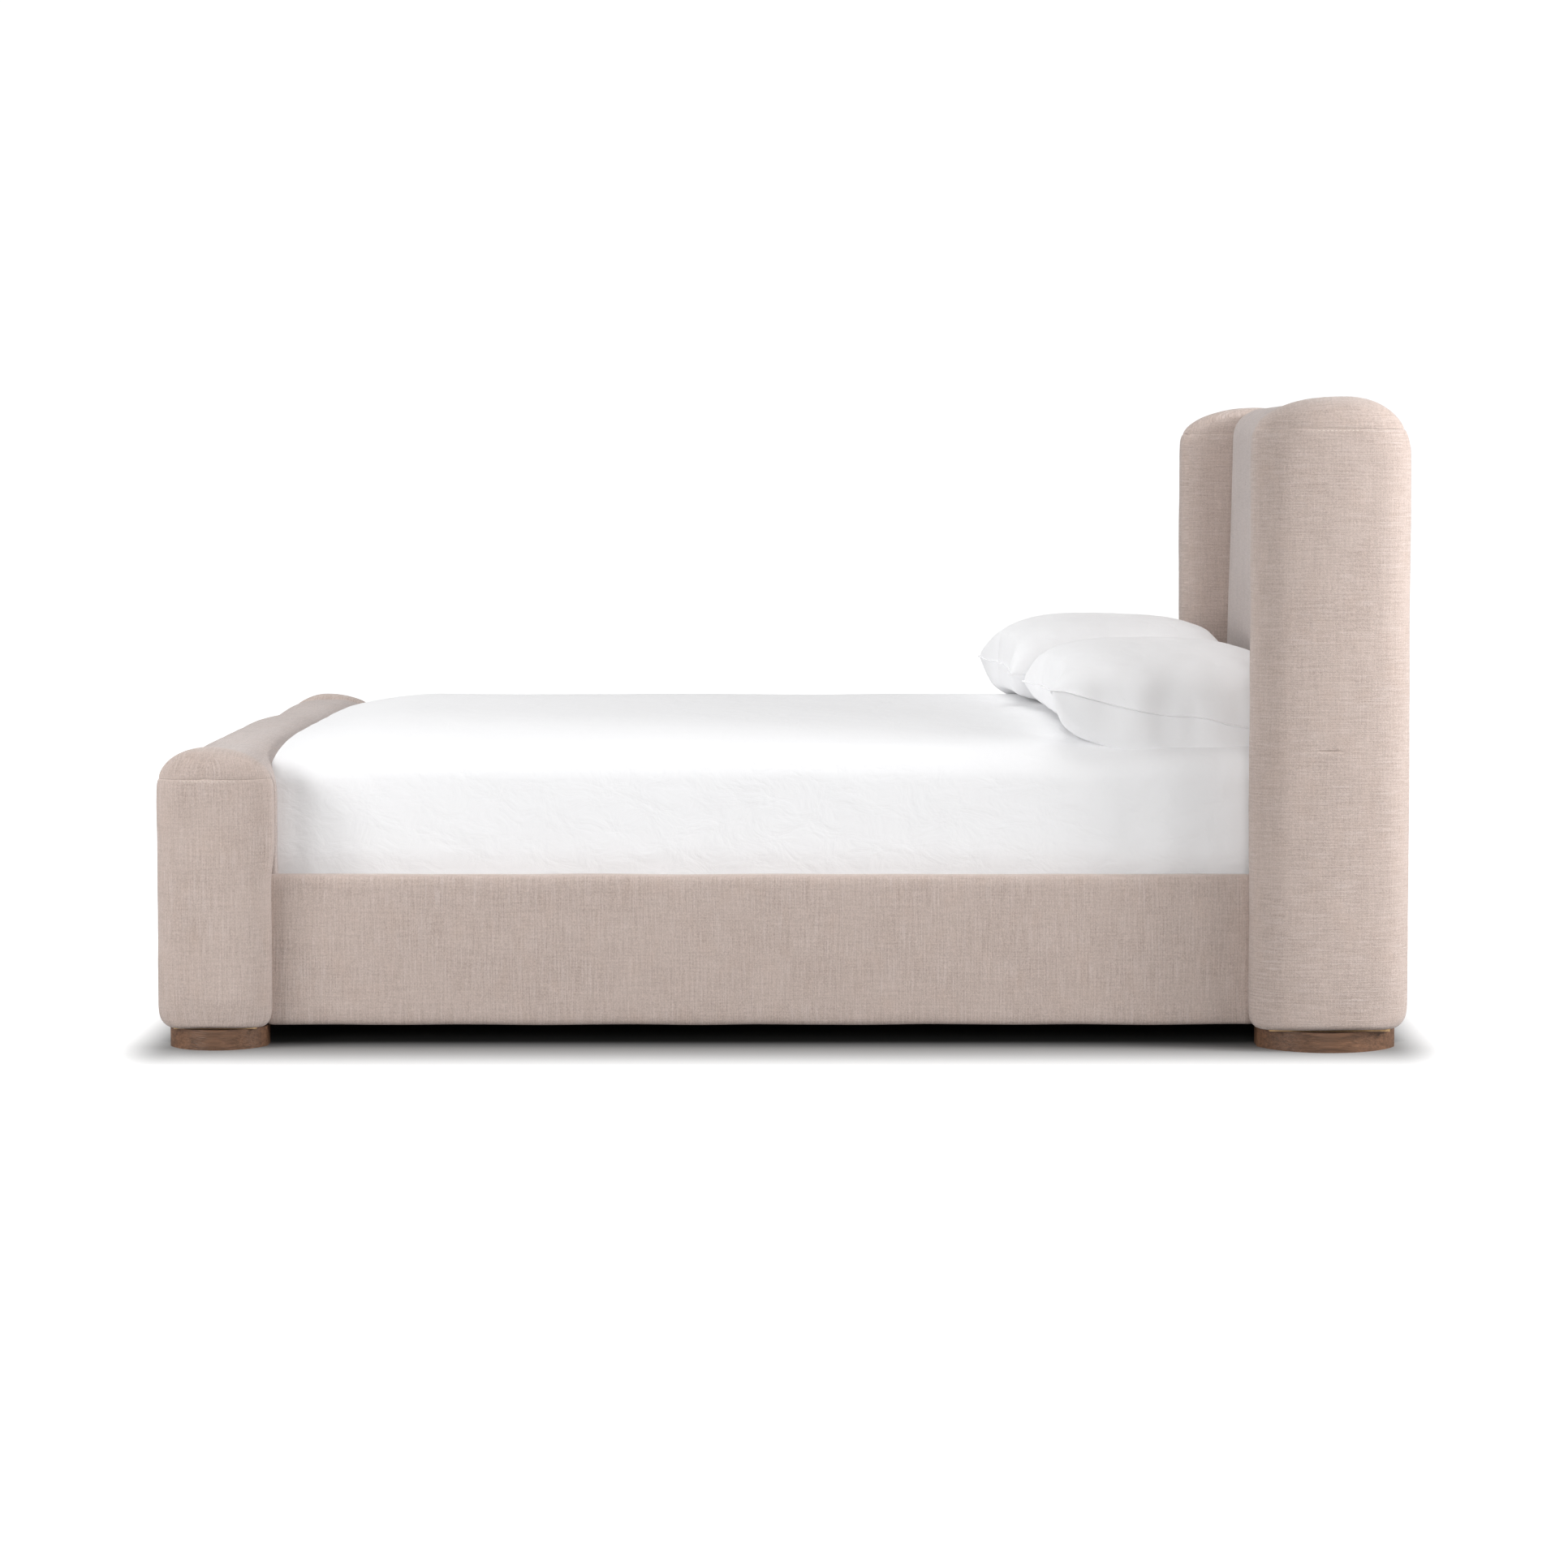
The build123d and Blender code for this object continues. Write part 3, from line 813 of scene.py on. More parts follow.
def stitches(name, loop, length=0.0052, gap=0.0030, radius=0.0007):
    """A row of short raised stitches along a closed loop of points."""
    mesh = bpy.data.meshes.new(name)
    shell = bmesh.new()
    steps = np.linalg.norm(np.roll(loop, -1, axis=0) - loop, axis=1)
    total = float(steps.sum())
    along = np.concatenate([[0], np.cumsum(steps)])
    closed = np.concatenate([loop, loop[:1]])

    def at(distance):
        k = min(int(np.searchsorted(along, distance, side="right")) - 1, len(steps) - 1)
        share = (distance - along[k]) / steps[k]
        return Vector(closed[k] * (1 - share) + closed[k + 1] * share)

    count = int(total / (length + gap))
    for i in range(count):
        start = total * i / count
        a, b = at(start), at(min(start + length, total - 1e-6))
        run = (b - a).normalized()
        up = Vector((0, 0, 1))
        out = run.cross(up).normalized()
        rings = []
        for share, size in ((0.0, 0.35), (0.25, 1.0), (0.75, 1.0), (1.0, 0.35)):
            middle = a.lerp(b, share)
            ring = []
            for k in range(5):
                angle = 2 * math.pi * k / 5
                offset = (out * math.cos(angle) + up * math.sin(angle)) * radius * size
                ring.append(shell.verts.new(middle + offset))
            rings.append(ring)
        for first, second in zip(rings, rings[1:]):
            for k in range(5):
                j = (k + 1) % 5
                shell.faces.new((first[k], first[j], second[j], second[k]))
        shell.faces.new(rings[0][::-1])
        shell.faces.new(rings[-1])
    shell.to_mesh(mesh)
    shell.free()
    return settle(name, mesh)


def surface_loop(piece, height):
    """The outline of a piece at one height, as points in order round it."""
    shell = bmesh.new()
    shell.from_mesh(piece.data)
    cut = bmesh.ops.bisect_plane(
        shell,
        geom=shell.verts[:] + shell.edges[:] + shell.faces[:],
        plane_co=(0, 0, height),
        plane_no=(0, 0, 1),
    )
    points = np.array([e.co[:] for e in cut["geom_cut"] if isinstance(e, bmesh.types.BMVert)])
    shell.free()
    middle = points.mean(0)
    angle = np.arctan2(points[:, 1] - middle[1], points[:, 0] - middle[0])
    return points[np.argsort(angle)]


def finish_upright(cover, cap, side, kind, cloth, yarn, seam, outer, front):
    loop = surface_loop(cover, seam - 0.0042)
    row = stitches(f"{kind}_stitching_{side}", loop)
    dressed(row, yarn, "frame", [])
    for piece, nodes in (
        (cover, [f"{kind}_cover_{side}", f"{kind}_foam_{side}"]),
        (cap, [f"{kind}_cap_{side}"]),
    ):
        piece.data.shade_smooth()
        lay_cloth(piece, outer, front)
        # painted highlight along the cap seam
        painted_highlight_lines(piece, lambda co: seam_highlight(co, seam, front))
        dressed(piece, cloth, "frame", nodes)


def seam_highlight(co, seam, front):
    """How much paler the cover is on its seam, a painted highlight: most over the front of the
    piece.
    """
    fade = 1 - 0.55 * float(eased((co.y - front - 0.08) / 0.12))
    return fade * math.exp(-(((co.z - seam) / 0.0022) ** 2))


class BED_OT_wings(bpy.types.Operator):
    """Builds the two padded wings with their sewn-on top caps."""

    bl_idname = "bed.wings"
    bl_label = "Wings"

    def execute(self, context):
        cloth = linen("wing_linen", "U")
        yarn = thread("cap_thread")
        low, seam_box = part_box("wing_cover_right")
        high = Vector(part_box("wing_cap_right")[1])
        high.x, high.y = seam_box.x, seam_box.y
        seam = seam_box.z
        counts = (24, 84)
        for side, sign in SIDES.items():
            loop = domed_loop(
                (low.y, low.z), (high.y, high.z), (0.020, 0.034), (0.172, 0.080),
                (0.125, 0.112), counts,
            )
            cover, cap = padded_upright(
                (f"wing_upholstery_{side}", f"wing_top_{side}"), loop, counts, (low, high),
                seam, (0.056, 0.058), sizes().wing_crown, 3.7 * sign, sign, 0.0,
            )
            self.creases(cover, cap, seam, sign, low, high)
            finish_upright(cover, cap, side, "wing", cloth, yarn, seam, high.x, low.y)
        return {"FINISHED"}

    def creases(self, cover, cap, seam, sign, low, high):
        """A short level crease in the side, and a fold over the front of the cap."""
        level = 0.598
        offsets = (-0.0030, -0.0012, 0.0, 0.0014, 0.0034)
        cut_rings(cover, [level + o for o in offsets])
        for vertex in cover.data.vertices:
            co = vertex.co
            if co.x * sign > 0.85:
                along = math.exp(-(((co.y - 1.078) / 0.022) ** 4))
                across = math.exp(-(((co.z - level) / 0.0018) ** 2))
                below = math.exp(-(((co.z - level + 0.006) / 0.006) ** 2))
                co.x -= sign * (0.0030 * across - 0.0012 * below) * along
        for vertex in cap.data.vertices:
            co = vertex.co
            line = (co.z - seam) - 1.25 * (co.y - low.y - 0.012)
            near = math.exp(-((line / 0.008) ** 2)) * math.exp(-(((co.y - low.y) / 0.05) ** 2))
            if co.x * sign > 0.80:
                co.x -= sign * 0.0022 * near


class BED_OT_posts(bpy.types.Operator):
    """Builds the footboard's two padded end posts with their domed caps."""

    bl_idname = "bed.posts"
    bl_label = "Footboard posts"

    def execute(self, context):
        cloth = linen("post_linen", "V")
        yarn = thread("post_thread")
        low, seam_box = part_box("post_cover_right")
        high = Vector(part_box("post_cap_right")[1])
        high.x, high.y = seam_box.x, seam_box.y
        seam = seam_box.z
        counts = (22, 40)
        for side, sign in SIDES.items():
            loop = domed_loop(
                (low.y, low.z), (high.y, high.z), (0.030, 0.020), (0.100, 0.072),
                (0.128, 0.078), counts,
            )
            cover, cap = padded_upright(
                (f"post_upholstery_{side}", f"post_top_{side}"), loop, counts, (low, high),
                seam, (0.044, 0.042), sizes().post_crown, 8.3 * sign, sign, 0.007,
            )
            finish_upright(cover, cap, side, "post", cloth, yarn, seam, high.x, low.y)
        return {"FINISHED"}


# ---------------------------------------------------------------- panels and rails


class BED_OT_headboard(bpy.types.Operator):
    """Builds the padded headboard panel and the cloth over its back."""

    bl_idname = "bed.headboard"
    bl_label = "Headboard"

    def execute(self, context):
        low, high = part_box("headboard_cover")
        rear_low, rear_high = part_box("headboard_back_cloth")
        # painted light: this cloth leans towards grey, the cooler cast that light gives a panel
        # facing the foot
        cloth = linen("headboard_linen", "V", 0.40)
        half_w = high.x + 0.003
        bend, top, lean = 0.56, high.z, 0.018
        rear = rear_low.y + 0.001

        def place(a, b, w, d):
            back = np.clip((rear - a) / (rear - low.y), 0, 1)
            across = np.abs(w / half_w)
            tilt = lean * np.clip((b - bend) / (top - bend), 0, 1)
            edge = 0.002 * across**8
            dome = 0.006 * np.cos(math.pi / 2 * np.clip(across, 0, 1)) ** 0.5
            full = 0.004 - 0.012 * eased((b - 0.58) / 0.12)
            flush = d * eased((a - rear + 0.10) / 0.09)
            y = a + back * (tilt + edge - dome * eased((b - 0.3) / 0.4) + full) + flush
            z = b - 0.006 * across**10 * eased((b - top + 0.1) / 0.1)
            return np.stack([w, y, z], axis=1)

        loop = box_loop(low.y, rear, low.z, high.z, [0.015, 0.015, 0.075, 0.062], (12, 66))
        levels = across_levels(half_w, 0.016)
        panel = padded_form("headboard_upholstery", loop, levels, (12, 66), place, foot=0.1)
        softened(panel, sizes().lumps * 1.1, 0.22, seed=2.2)
        apply_modifier(panel, "SUBSURF", levels=1, render_levels=1)
        for vertex in panel.data.vertices:
            if vertex.co.y > rear - 0.006:
                vertex.co.y = rear
        lay_panel_cloth(panel)
        dressed(panel, cloth, "frame", ["headboard_cover", "headboard_foam"])

        back = self.back_cloth(rear_low, rear_high)
        dressed(back, cloth, "frame", ["headboard_back_cloth"])
        return {"FINISHED"}

    def back_cloth(self, low, high):
        """The cloth stretched over the back of the frame, pulled in along its edges."""
        edges = (low.x + 0.002, high.x - 0.002, low.z, high.z)
        loop = box_loop(*edges, [0.006] * 4, (56, 42))

        def place(a, b, w, d):
            side = 1 - np.abs(a) / high.x
            rise = np.minimum(b - low.z, high.z - b)
            slack = 0.0012 * np.sin(a * 9.0) * np.sin(b * 7.0 + 1.0)
            full = eased(side / 0.03) * eased(rise / 0.03)
            y = low.y + 0.0012 + w + (0.0006 + slack) * full
            return np.stack([a, y, b], axis=1)

        levels = [(0.0, 0.001), (0.0005, 0.0), (0.0015, 0.0), (0.002, 0.001)]
        back = padded_form("headboard_back", loop, levels, (56, 42), place)
        lay_panel_cloth(back)
        return back


class BED_OT_footboard(bpy.types.Operator):
    """Builds the padded footboard panel between the posts."""

    bl_idname = "bed.footboard"
    bl_label = "Footboard"

    def execute(self, context):
        low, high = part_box("footboard_cover")
        half_w = high.x + 0.004
        middle = (low.y + high.y) / 2
        half = (high.y - low.y) / 2

        def place(a, b, w, d):
            across = np.abs(w / half_w)
            u = np.abs((a - middle) / half)
            up = eased((b - (high.z - 0.12)) / 0.12)
            sag = 0.004 * np.sin(w * 7.0 + 0.6) + 0.003 * np.sin(w * 13.0 + 2.0)
            valley = 0.010 * across**14
            z = b - up * (valley + 0.002 - sag * 0.8)
            y = a - np.sign(a - middle) * (0.003 * across**10) * u
            return np.stack([w, y, z], axis=1)

        radii = [0.016, 0.016, 0.090, 0.090]
        loop = box_loop(low.y, high.y, low.z, high.z, radii, (18, 34))
        levels = across_levels(half_w, 0.007)
        panel = padded_form("footboard_upholstery", loop, levels, (18, 34), place)
        softened(panel, sizes().lumps * 1.5, 0.18, seed=6.4)
        apply_modifier(panel, "SUBSURF", levels=1, render_levels=1)
        lay_panel_cloth(panel)
        nodes = ["footboard_cover", "footboard_foam"]
        # painted light: this cloth leans towards grey, the cooler cast that light gives a panel
        # facing the foot and the sky
        dressed(panel, linen("footboard_linen", "V", 0.30), "frame", nodes)
        return {"FINISHED"}


class BED_OT_side_rails(bpy.types.Operator):
    """Builds the two upholstered side rails."""

    bl_idname = "bed.side_rails"
    bl_label = "Side rails"

    def execute(self, context):
        cloth = linen("rail_linen", "V")
        for side, sign in SIDES.items():
            low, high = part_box("rail_cover_right")

            def place(a, b, w, d, sign=sign, low=low, high=high):
                share = (w - low.y) / (high.y - low.y)
                face = np.clip((a - low.x) / (high.x - low.x), 0, 1)
                belly = np.sin(math.pi * np.clip((b - low.z) / (high.z - low.z), 0, 1))
                x = a - face * (0.003 - 0.003 * belly)
                z = b + face * 0.0008 * np.sin(share * 40)
                return np.stack([sign * x, w, z], axis=1)

            radii = [0.006, 0.012, 0.016, 0.008]
            loop = box_loop(low.x, high.x, low.z, high.z, radii, (5, 22))
            start, stop = low.y - 0.020, high.y + 0.020
            levels = [(start, 0.003), (start + 0.004, 0.0)]
            levels += [(y, 0.0) for y in even(start + 0.004, stop - 0.004, 0.024)]
            levels += [(stop - 0.004, 0.0), (stop, 0.003)]
            rail = padded_form(f"rail_upholstery_{side}", loop, levels, (5, 22), place)
            softened(rail, sizes().lumps * 0.7, 0.20, seed=sign * 4.4)
            apply_modifier(rail, "SUBSURF", levels=1, render_levels=1)
            # painted highlight: a paler band along the rail's top edge, where the light from
            # above falls
            painted_highlight_lines(rail, lambda co: 0.6 * math.exp(-(((co.z - high.z) / 0.006) ** 2)))
            lay_panel_cloth(rail)
            nodes = [f"rail_cover_{side}", f"rail_foam_{side}"]
            dressed(rail, cloth, "frame", nodes)
        return {"FINISHED"}


# ---------------------------------------------------------------- bedding


def mattress_top(x, high):
    """Height of the made bed over its width: full in the middle, lower at the sides."""
    across = np.abs(x) / high.x
    return high.z + 0.014 - sizes().mattress_crown * across**5


def mattress_form(name, inset, corner, keep_bottom):
    """The mattress shape, or the same shape a little smaller inside its sheet."""
    low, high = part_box("fitted_sheet")
    edge = 0.060

    def place(a, b, w, d):
        share = (w - low.z) / (high.z - low.z)
        foot_end = np.clip((low.y + 0.18 - b) / 0.20, 0, 1)
        crown = mattress_top(a, high) - high.z - 0.024 * foot_end**2
        lift = crown * eased((share - 0.55) / 0.45)
        belly = 0.004 * np.sin(math.pi * np.clip(share, 0, 1))
        fx = np.clip(np.abs(a) / high.x, 0, 1) ** 6
        x = a + np.sign(a) * (belly - 0.003) * fx
        return np.stack([x, b, w + lift], axis=1)

    edges = (low.x + inset, high.x - inset, low.y + inset - 0.038, high.y - inset)
    loop = box_loop(*edges, [corner] * 4, (64, 84))
    bottom = low.z + inset * 0.5
    top = high.z - inset
    levels = rounded_end(0.022, bottom, 1)[::-1]
    if not keep_bottom:
        hem = [(bottom, 0.12 - 0.014 * i) for i in range(7)]
        levels = hem + levels[1:]
    levels += [(z, 0.0) for z in even(levels[-1][0], top - edge, 0.020)]
    levels += [(2 * top - z, i) for z, i in rounded_end(edge, top, 1, 8)]
    piece = padded_form(name, loop, levels, (64, 84), place, (keep_bottom, True), foot=0.3)
    lay_panel_cloth(piece)
    return piece


class BED_OT_mattress(bpy.types.Operator):
    """Builds the mattress and the fitted sheet stretched over it."""

    bl_idname = "bed.mattress"
    bl_label = "Mattress and sheet"

    def execute(self, context):
        low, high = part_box("fitted_sheet")
        rail_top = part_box("rail_cover_right")[1].z
        pad = mattress_form("mattress_pad", 0.006, 0.020, True)
        self.tucks(pad, high, rail_top)
        dressed(pad, ticking("mattress_ticking"), "mattress", ["mattress"])

        sheet = mattress_form("sheet_fitted", 0.0, 0.024, False)
        self.tucks(sheet, high, rail_top)
        softened(sheet, 0.0022, 0.35, seed=1.1)
        softened(sheet, 0.0007, 0.07, seed=7.1, stretch=(1, 1, 0.5))
        apply_modifier(sheet, "SOLIDIFY", thickness=0.0014, offset=-1.0)
        dressed(sheet, cotton("sheet_cotton"), "mattress", ["fitted_sheet"])
        return {"FINISHED"}

    def tucks(self, sheet, high, rail_top):
        """Short pulls in the sheet's sides, just above where the rails hold them."""
        for vertex in sheet.data.vertices:
            co = vertex.co
            side = abs(co.x) / high.x
            near = math.exp(-(((co.z - rail_top - 0.02) / 0.07) ** 2))
            if side > 0.97:
                pull = noise.noise(Vector((co.y * 14, co.z * 5, 3.0 + co.x)))
                tuck = 0.007 * math.exp(-(((co.z - rail_top) / 0.017) ** 2))
                co.x -= math.copysign(max(0.0, pull) * 0.006 * near + tuck, co.x)


def pillow_start(name, width, depth):
    """Two layers of cloth sewn round their edge, before filling."""
    nx, ny = 66, 46
    verts, faces, cloth = [], [], []
    index = {}
    for layer in (1, -1):
        for i in range(nx + 1):
            for j in range(ny + 1):
                rim = i in (0, nx) or j in (0, ny)
                key = (i, j, 0 if rim else layer)
                if key in index:
                    continue
                s, t = 2 * i / nx - 1, 2 * j / ny - 1
                a = s * width / 2 * (1 - 0.035 * t * t)
                b = t * depth / 2 * (1 - 0.045 * s * s)
                lift = 0.0 if rim else layer * 0.02 * (1 - s**4) * (1 - t**4)
                index[key] = len(verts)
                verts.append((a, b, lift))
                cloth.append((a, b))
    for layer in (1, -1):
        for i in range(nx):
            for j in range(ny):
                quad = []
                for p, q in ((i, j), (i + 1, j), (i + 1, j + 1), (i, j + 1)):
                    rim = p in (0, nx) or q in (0, ny)
                    quad.append(index[(p, q, 0 if rim else layer)])
                faces.append(quad if layer > 0 else quad[::-1])
    mesh = bpy.data.meshes.new(name)
    mesh.from_pydata(verts, [], faces)
    layer = mesh.uv_layers.new(name="Cloth")
    for loop in mesh.loops:
        layer.data[loop.index].uv = cloth[loop.vertex_index]
    rim = [index[(i, 0, 0)] for i in range(nx)] + [index[(nx, j, 0)] for j in range(ny)]
    rim += [index[(i, ny, 0)] for i in range(nx, 0, -1)]
    rim += [index[(0, j, 0)] for j in range(ny, 0, -1)]
    return settle(name, mesh), rim


def filled_by_cloth(piece, pressure, frames):
    """Fills the sewn cloth by simulation, and applies the result."""
    modifier = piece.modifiers.new("Cloth", "CLOTH")
    settings = modifier.settings
    settings.quality = 6
    settings.mass = 0.15
    settings.tension_stiffness = 15
    settings.compression_stiffness = 4
    settings.shear_stiffness = 5
    settings.bending_stiffness = 0.3
    settings.tension_damping = 18
    settings.compression_damping = 18
    settings.air_damping = 6
    settings.use_pressure = True
    settings.uniform_pressure_force = pressure
    settings.effector_weights.gravity = 0
    modifier.collision_settings.use_collision = False
    modifier.point_cache.frame_end = frames
    scene = bpy.context.scene
    for number in range(1, frames + 1):
        scene.frame_set(number)
    select_only(piece)
    bpy.ops.object.modifier_apply(modifier=modifier.name)
    scene.frame_set(1)


def edge_bead(piece, rim, radius):
    """The sewn edge round a pillow: a thin roll that follows its rim."""
    points = [piece.data.vertices[i].co.copy() for i in rim]
    count = len(points)
    shell = bmesh.new()
    shell.from_mesh(piece.data)
    uv = shell.loops.layers.uv["Cloth"]
    centre = sum(points, Vector()) / count
    rings = []
    for i, point in enumerate(points):
        run = (points[(i + 1) % count] - points[i - 1]).normalized()
        up = Vector((0, 0, 1))
        out = run.cross(up).normalized()
        if out.dot(point - centre) < 0:
            out = -out
        up = out.cross(run).normalized()
        ring = []
        for k in range(8):
            angle = 2 * math.pi * k / 8
            wide, tall = math.cos(angle) * radius * 1.5, math.sin(angle) * radius * 0.8
            ring.append(shell.verts.new(point + out * (radius * 0.9 + wide) + up * tall))
        rings.append(ring)
    added = []
    for i in range(count):
        first, second = rings[i], rings[(i + 1) % count]
        for k in range(8):
            j = (k + 1) % 8
            face = shell.faces.new((first[k], first[j], second[j], second[k]))
            face.smooth = True
            added.append(face)
            for loop in face.loops:
                loop[uv].uv = (loop.vert.co.x, loop.vert.co.y)
    bmesh.ops.recalc_face_normals(shell, faces=added)
    shell.to_mesh(piece.data)
    shell.free()


class BED_OT_pillows(bpy.types.Operator):
    """Sews, fills and lays the two pillows."""

    bl_idname = "bed.pillows"
    bl_label = "Pillows"

    def execute(self, context):
        case = cotton("pillow_cotton", wrinkle=0.8)
        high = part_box("fitted_sheet")[1]
        poses = {"right": (0.684, 0.642, 0.792), "left": (0.696, 0.655, 0.812)}
        for side, sign in SIDES.items():
            low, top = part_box(f"pillow_{side}")
            centre = (low + top) / 2
            piece, rim = pillow_start(f"pillow_case_{side}", 0.765, 0.520)
            filled_by_cloth(piece, 5.0, 24)
            apply_modifier(piece, "SMOOTH", factor=0.5, iterations=34)
            self.lay(piece, centre, poses[side], high, sign)
            edge_bead(piece, rim, 0.0020)
            apply_modifier(piece, "SUBSURF", levels=1, render_levels=1)
            softened(piece, 0.0013, 0.040, seed=5.0 * sign, stretch=(1, 1, 0.30))
            dressed(piece, case, f"pillow_{side}", [f"pillow_{side}"])
        return {"FINISHED"}

    def lay(self, piece, centre, pose, high, sign):
        """Rests the filled pillow on the bed: flat beneath, sewn edge at the heights given.

        pose is the height of the sewn edge at its foot end and head end, and the top.
        """
        foot_seam, head_seam, top = pose
        length, depth = 0.356, 0.243 - 0.007 * sign
        turn = math.radians(3.5)
        co = np.array([v.co[:] for v in piece.data.vertices])
        a, b = self.squared(co, length, depth)
        x = centre.x + a * math.cos(turn) - b * math.sin(turn)
        y = centre.y + a * math.sin(turn) + b * math.cos(turn) + 0.001 - 0.013 * sign
        s, t = np.clip(a / length, -1, 1), np.clip(b / depth, -1, 1)
        plump = np.sqrt((1 - s**4) * (1 - t**4))
        up = self.bulge(co[:, 2], plump)
        down = self.bulge(-co[:, 2], plump)

        # the sewn edge: higher in the middle of its back, and at the outer foot corner
        back = eased((b + depth) / (2 * depth))
        outward = a * sign / length
        corner = np.exp(-(((outward - 1) / 0.22) ** 2) - (((b + depth) / 0.075) ** 2))
        corner = corner * (0.65 + 0.35 * sign)
        y = y - 0.014 * corner
        seam = foot_seam + (head_seam - foot_seam) * back + 0.026 * corner
        seam = seam + 0.055 * eased((b - 0.05) / 0.18) * (1 - s**2)

        # the bed beneath it: crowned, rounded at its edge, and pressed in near there
        edge = 0.060
        over = np.clip(np.abs(x) - high.x + edge, 0, edge - 0.002)
        floor = mattress_top(x, high) + 0.003 - edge + np.sqrt(edge**2 - over**2)
        floor = floor - (0.008 + 0.022 * back) * eased((outward - 0.35) / 0.55)

        # the cloth between: blunt at the back, sloping at the foot, and a little uneven
        full = 0.74 - 0.20 * eased((b + 0.02) / depth)
        rate = 4.6 - 2.7 * eased((-b / depth - 0.30) / 0.6)
        rest = np.tanh(down * rate) / np.tanh(rate)
        z = seam + (top - seam) * up**full - (seam - floor) * rest
        z = z - (0.004 + 0.010 * back) * eased((outward - 0.40) / 0.60)
        sway = np.array([noise.noise(Vector((p * 5, q * 5, sign * 4.0))) for p, q in zip(x, y)])
        dent = np.exp(-(((a + 0.02 * sign) / 0.05) ** 2) - ((b / 0.035) ** 2))
        z = z + 0.004 * (sway - dent) * up
        for vertex, spot in zip(piece.data.vertices, zip(x, y, z)):
            vertex.co = spot
        piece.data.update()

    def swell(self, co):
        """A plain filled shape, in place of the simulated one."""
        s, t = co[:, 0] / 0.383, co[:, 1] / 0.260
        fill = np.sqrt(np.clip((1 - s**4) * (1 - t**4), 0, 1))
        co[:, 2] = np.sign(co[:, 2]) * fill * 0.12

    def squared(self, co, length, depth):
        """The plan at its laid size, with the drawn-in middles of its sides let out."""
        a, b = (co[:, k] - (co[:, k].max() + co[:, k].min()) / 2 for k in (0, 1))
        a = a / np.abs(a).max() * length
        b = b / np.abs(b).max() * depth
        end_middle = a[np.abs(b) < 0.02].max() / length
        side_middle = b[np.abs(a) < 0.03].max() / depth
        a = a * (1 + 0.85 * (1 / end_middle - 1) * (1 - (b / depth) ** 2))
        along = np.clip(a / length, -1, 1)
        b = b * (1 + 0.5 * (1 / side_middle - 1) * (1 - along**2))
        return a, b

    def bulge(self, height, plump):
        """How full the cloth is at each point: 0 at its sewn edge, 1 at its fullest."""
        share = np.clip(height / height.max(), 0, 1)
        return share + 0.65 * eased(share / 0.35) * (plump - share)


# ---------------------------------------------------------------- wood and steel


class BED_OT_woodwork(bpy.types.Operator):
    """Finishes the feet, the slatted base and the hidden timber."""

    bl_idname = "bed.woodwork"
    bl_label = "Woodwork"

    def execute(self, context):
        stain = tuple(finishes().foot_stain)
        pale, deep = scaled(stain, 2.3), scaled(stain, 0.72)
        feet = timber("foot_stained_wood", pale, deep, 1, 0.007, 0.42)
        pine = [
            timber(f"pine_along_{axis}", (0.64, 0.44, 0.235), (0.45, 0.27, 0.12), i)
            for i, axis in enumerate("xyz")
        ]
        board = timber("plywood_face", (0.60, 0.43, 0.26), (0.44, 0.29, 0.16), 0, 0.03)
        padding = foam("foam_padding")
        strap = webbing("strap_webbing")
        for name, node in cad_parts.items():
            if name.startswith(("head_foot", "tail_foot")):
                repaint(node, feet)
            elif name.endswith("_board") or name.startswith("rail_board"):
                repaint(node, board)
            elif name == "slat_straps":
                repaint(node, strap)
            elif "foam" in name:
                repaint(node, padding)
            elif name == "centre_beam" or name.startswith("slat_ledge"):
                repaint(node, pine[1])
            elif "centre_leg" in name or "_frame_" in name or name.endswith("_studs"):
                repaint(node, pine[2])
            elif name in ("slats", "dowels") or name.endswith("_rail"):
                repaint(node, pine[0])
        return {"FINISHED"}


class BED_OT_hardware(bpy.types.Operator):
    """Finishes the brackets, plates, saddles, bolts and levelling feet."""

    bl_idname = "bed.hardware"
    bl_label = "Hardware"

    def execute(self, context):
        steel = brushed_steel("plated_steel")
        plastic = moulded_plastic("leveller_nylon")
        for name in ("corner_brackets", "joint_plates", "beam_saddles", "bolts"):
            repaint(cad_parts[name], steel)
        for name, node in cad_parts.items():
            if name.startswith("leveller"):
                repaint(node, plastic)
        return {"FINISHED"}


def repaint(node, material):
    """Puts the material in every slot of a frame part."""
    if not node.material_slots:
        node.data.materials.append(material)
    for slot in node.material_slots:
        slot.material = material


# ---------------------------------------------------------------- stage


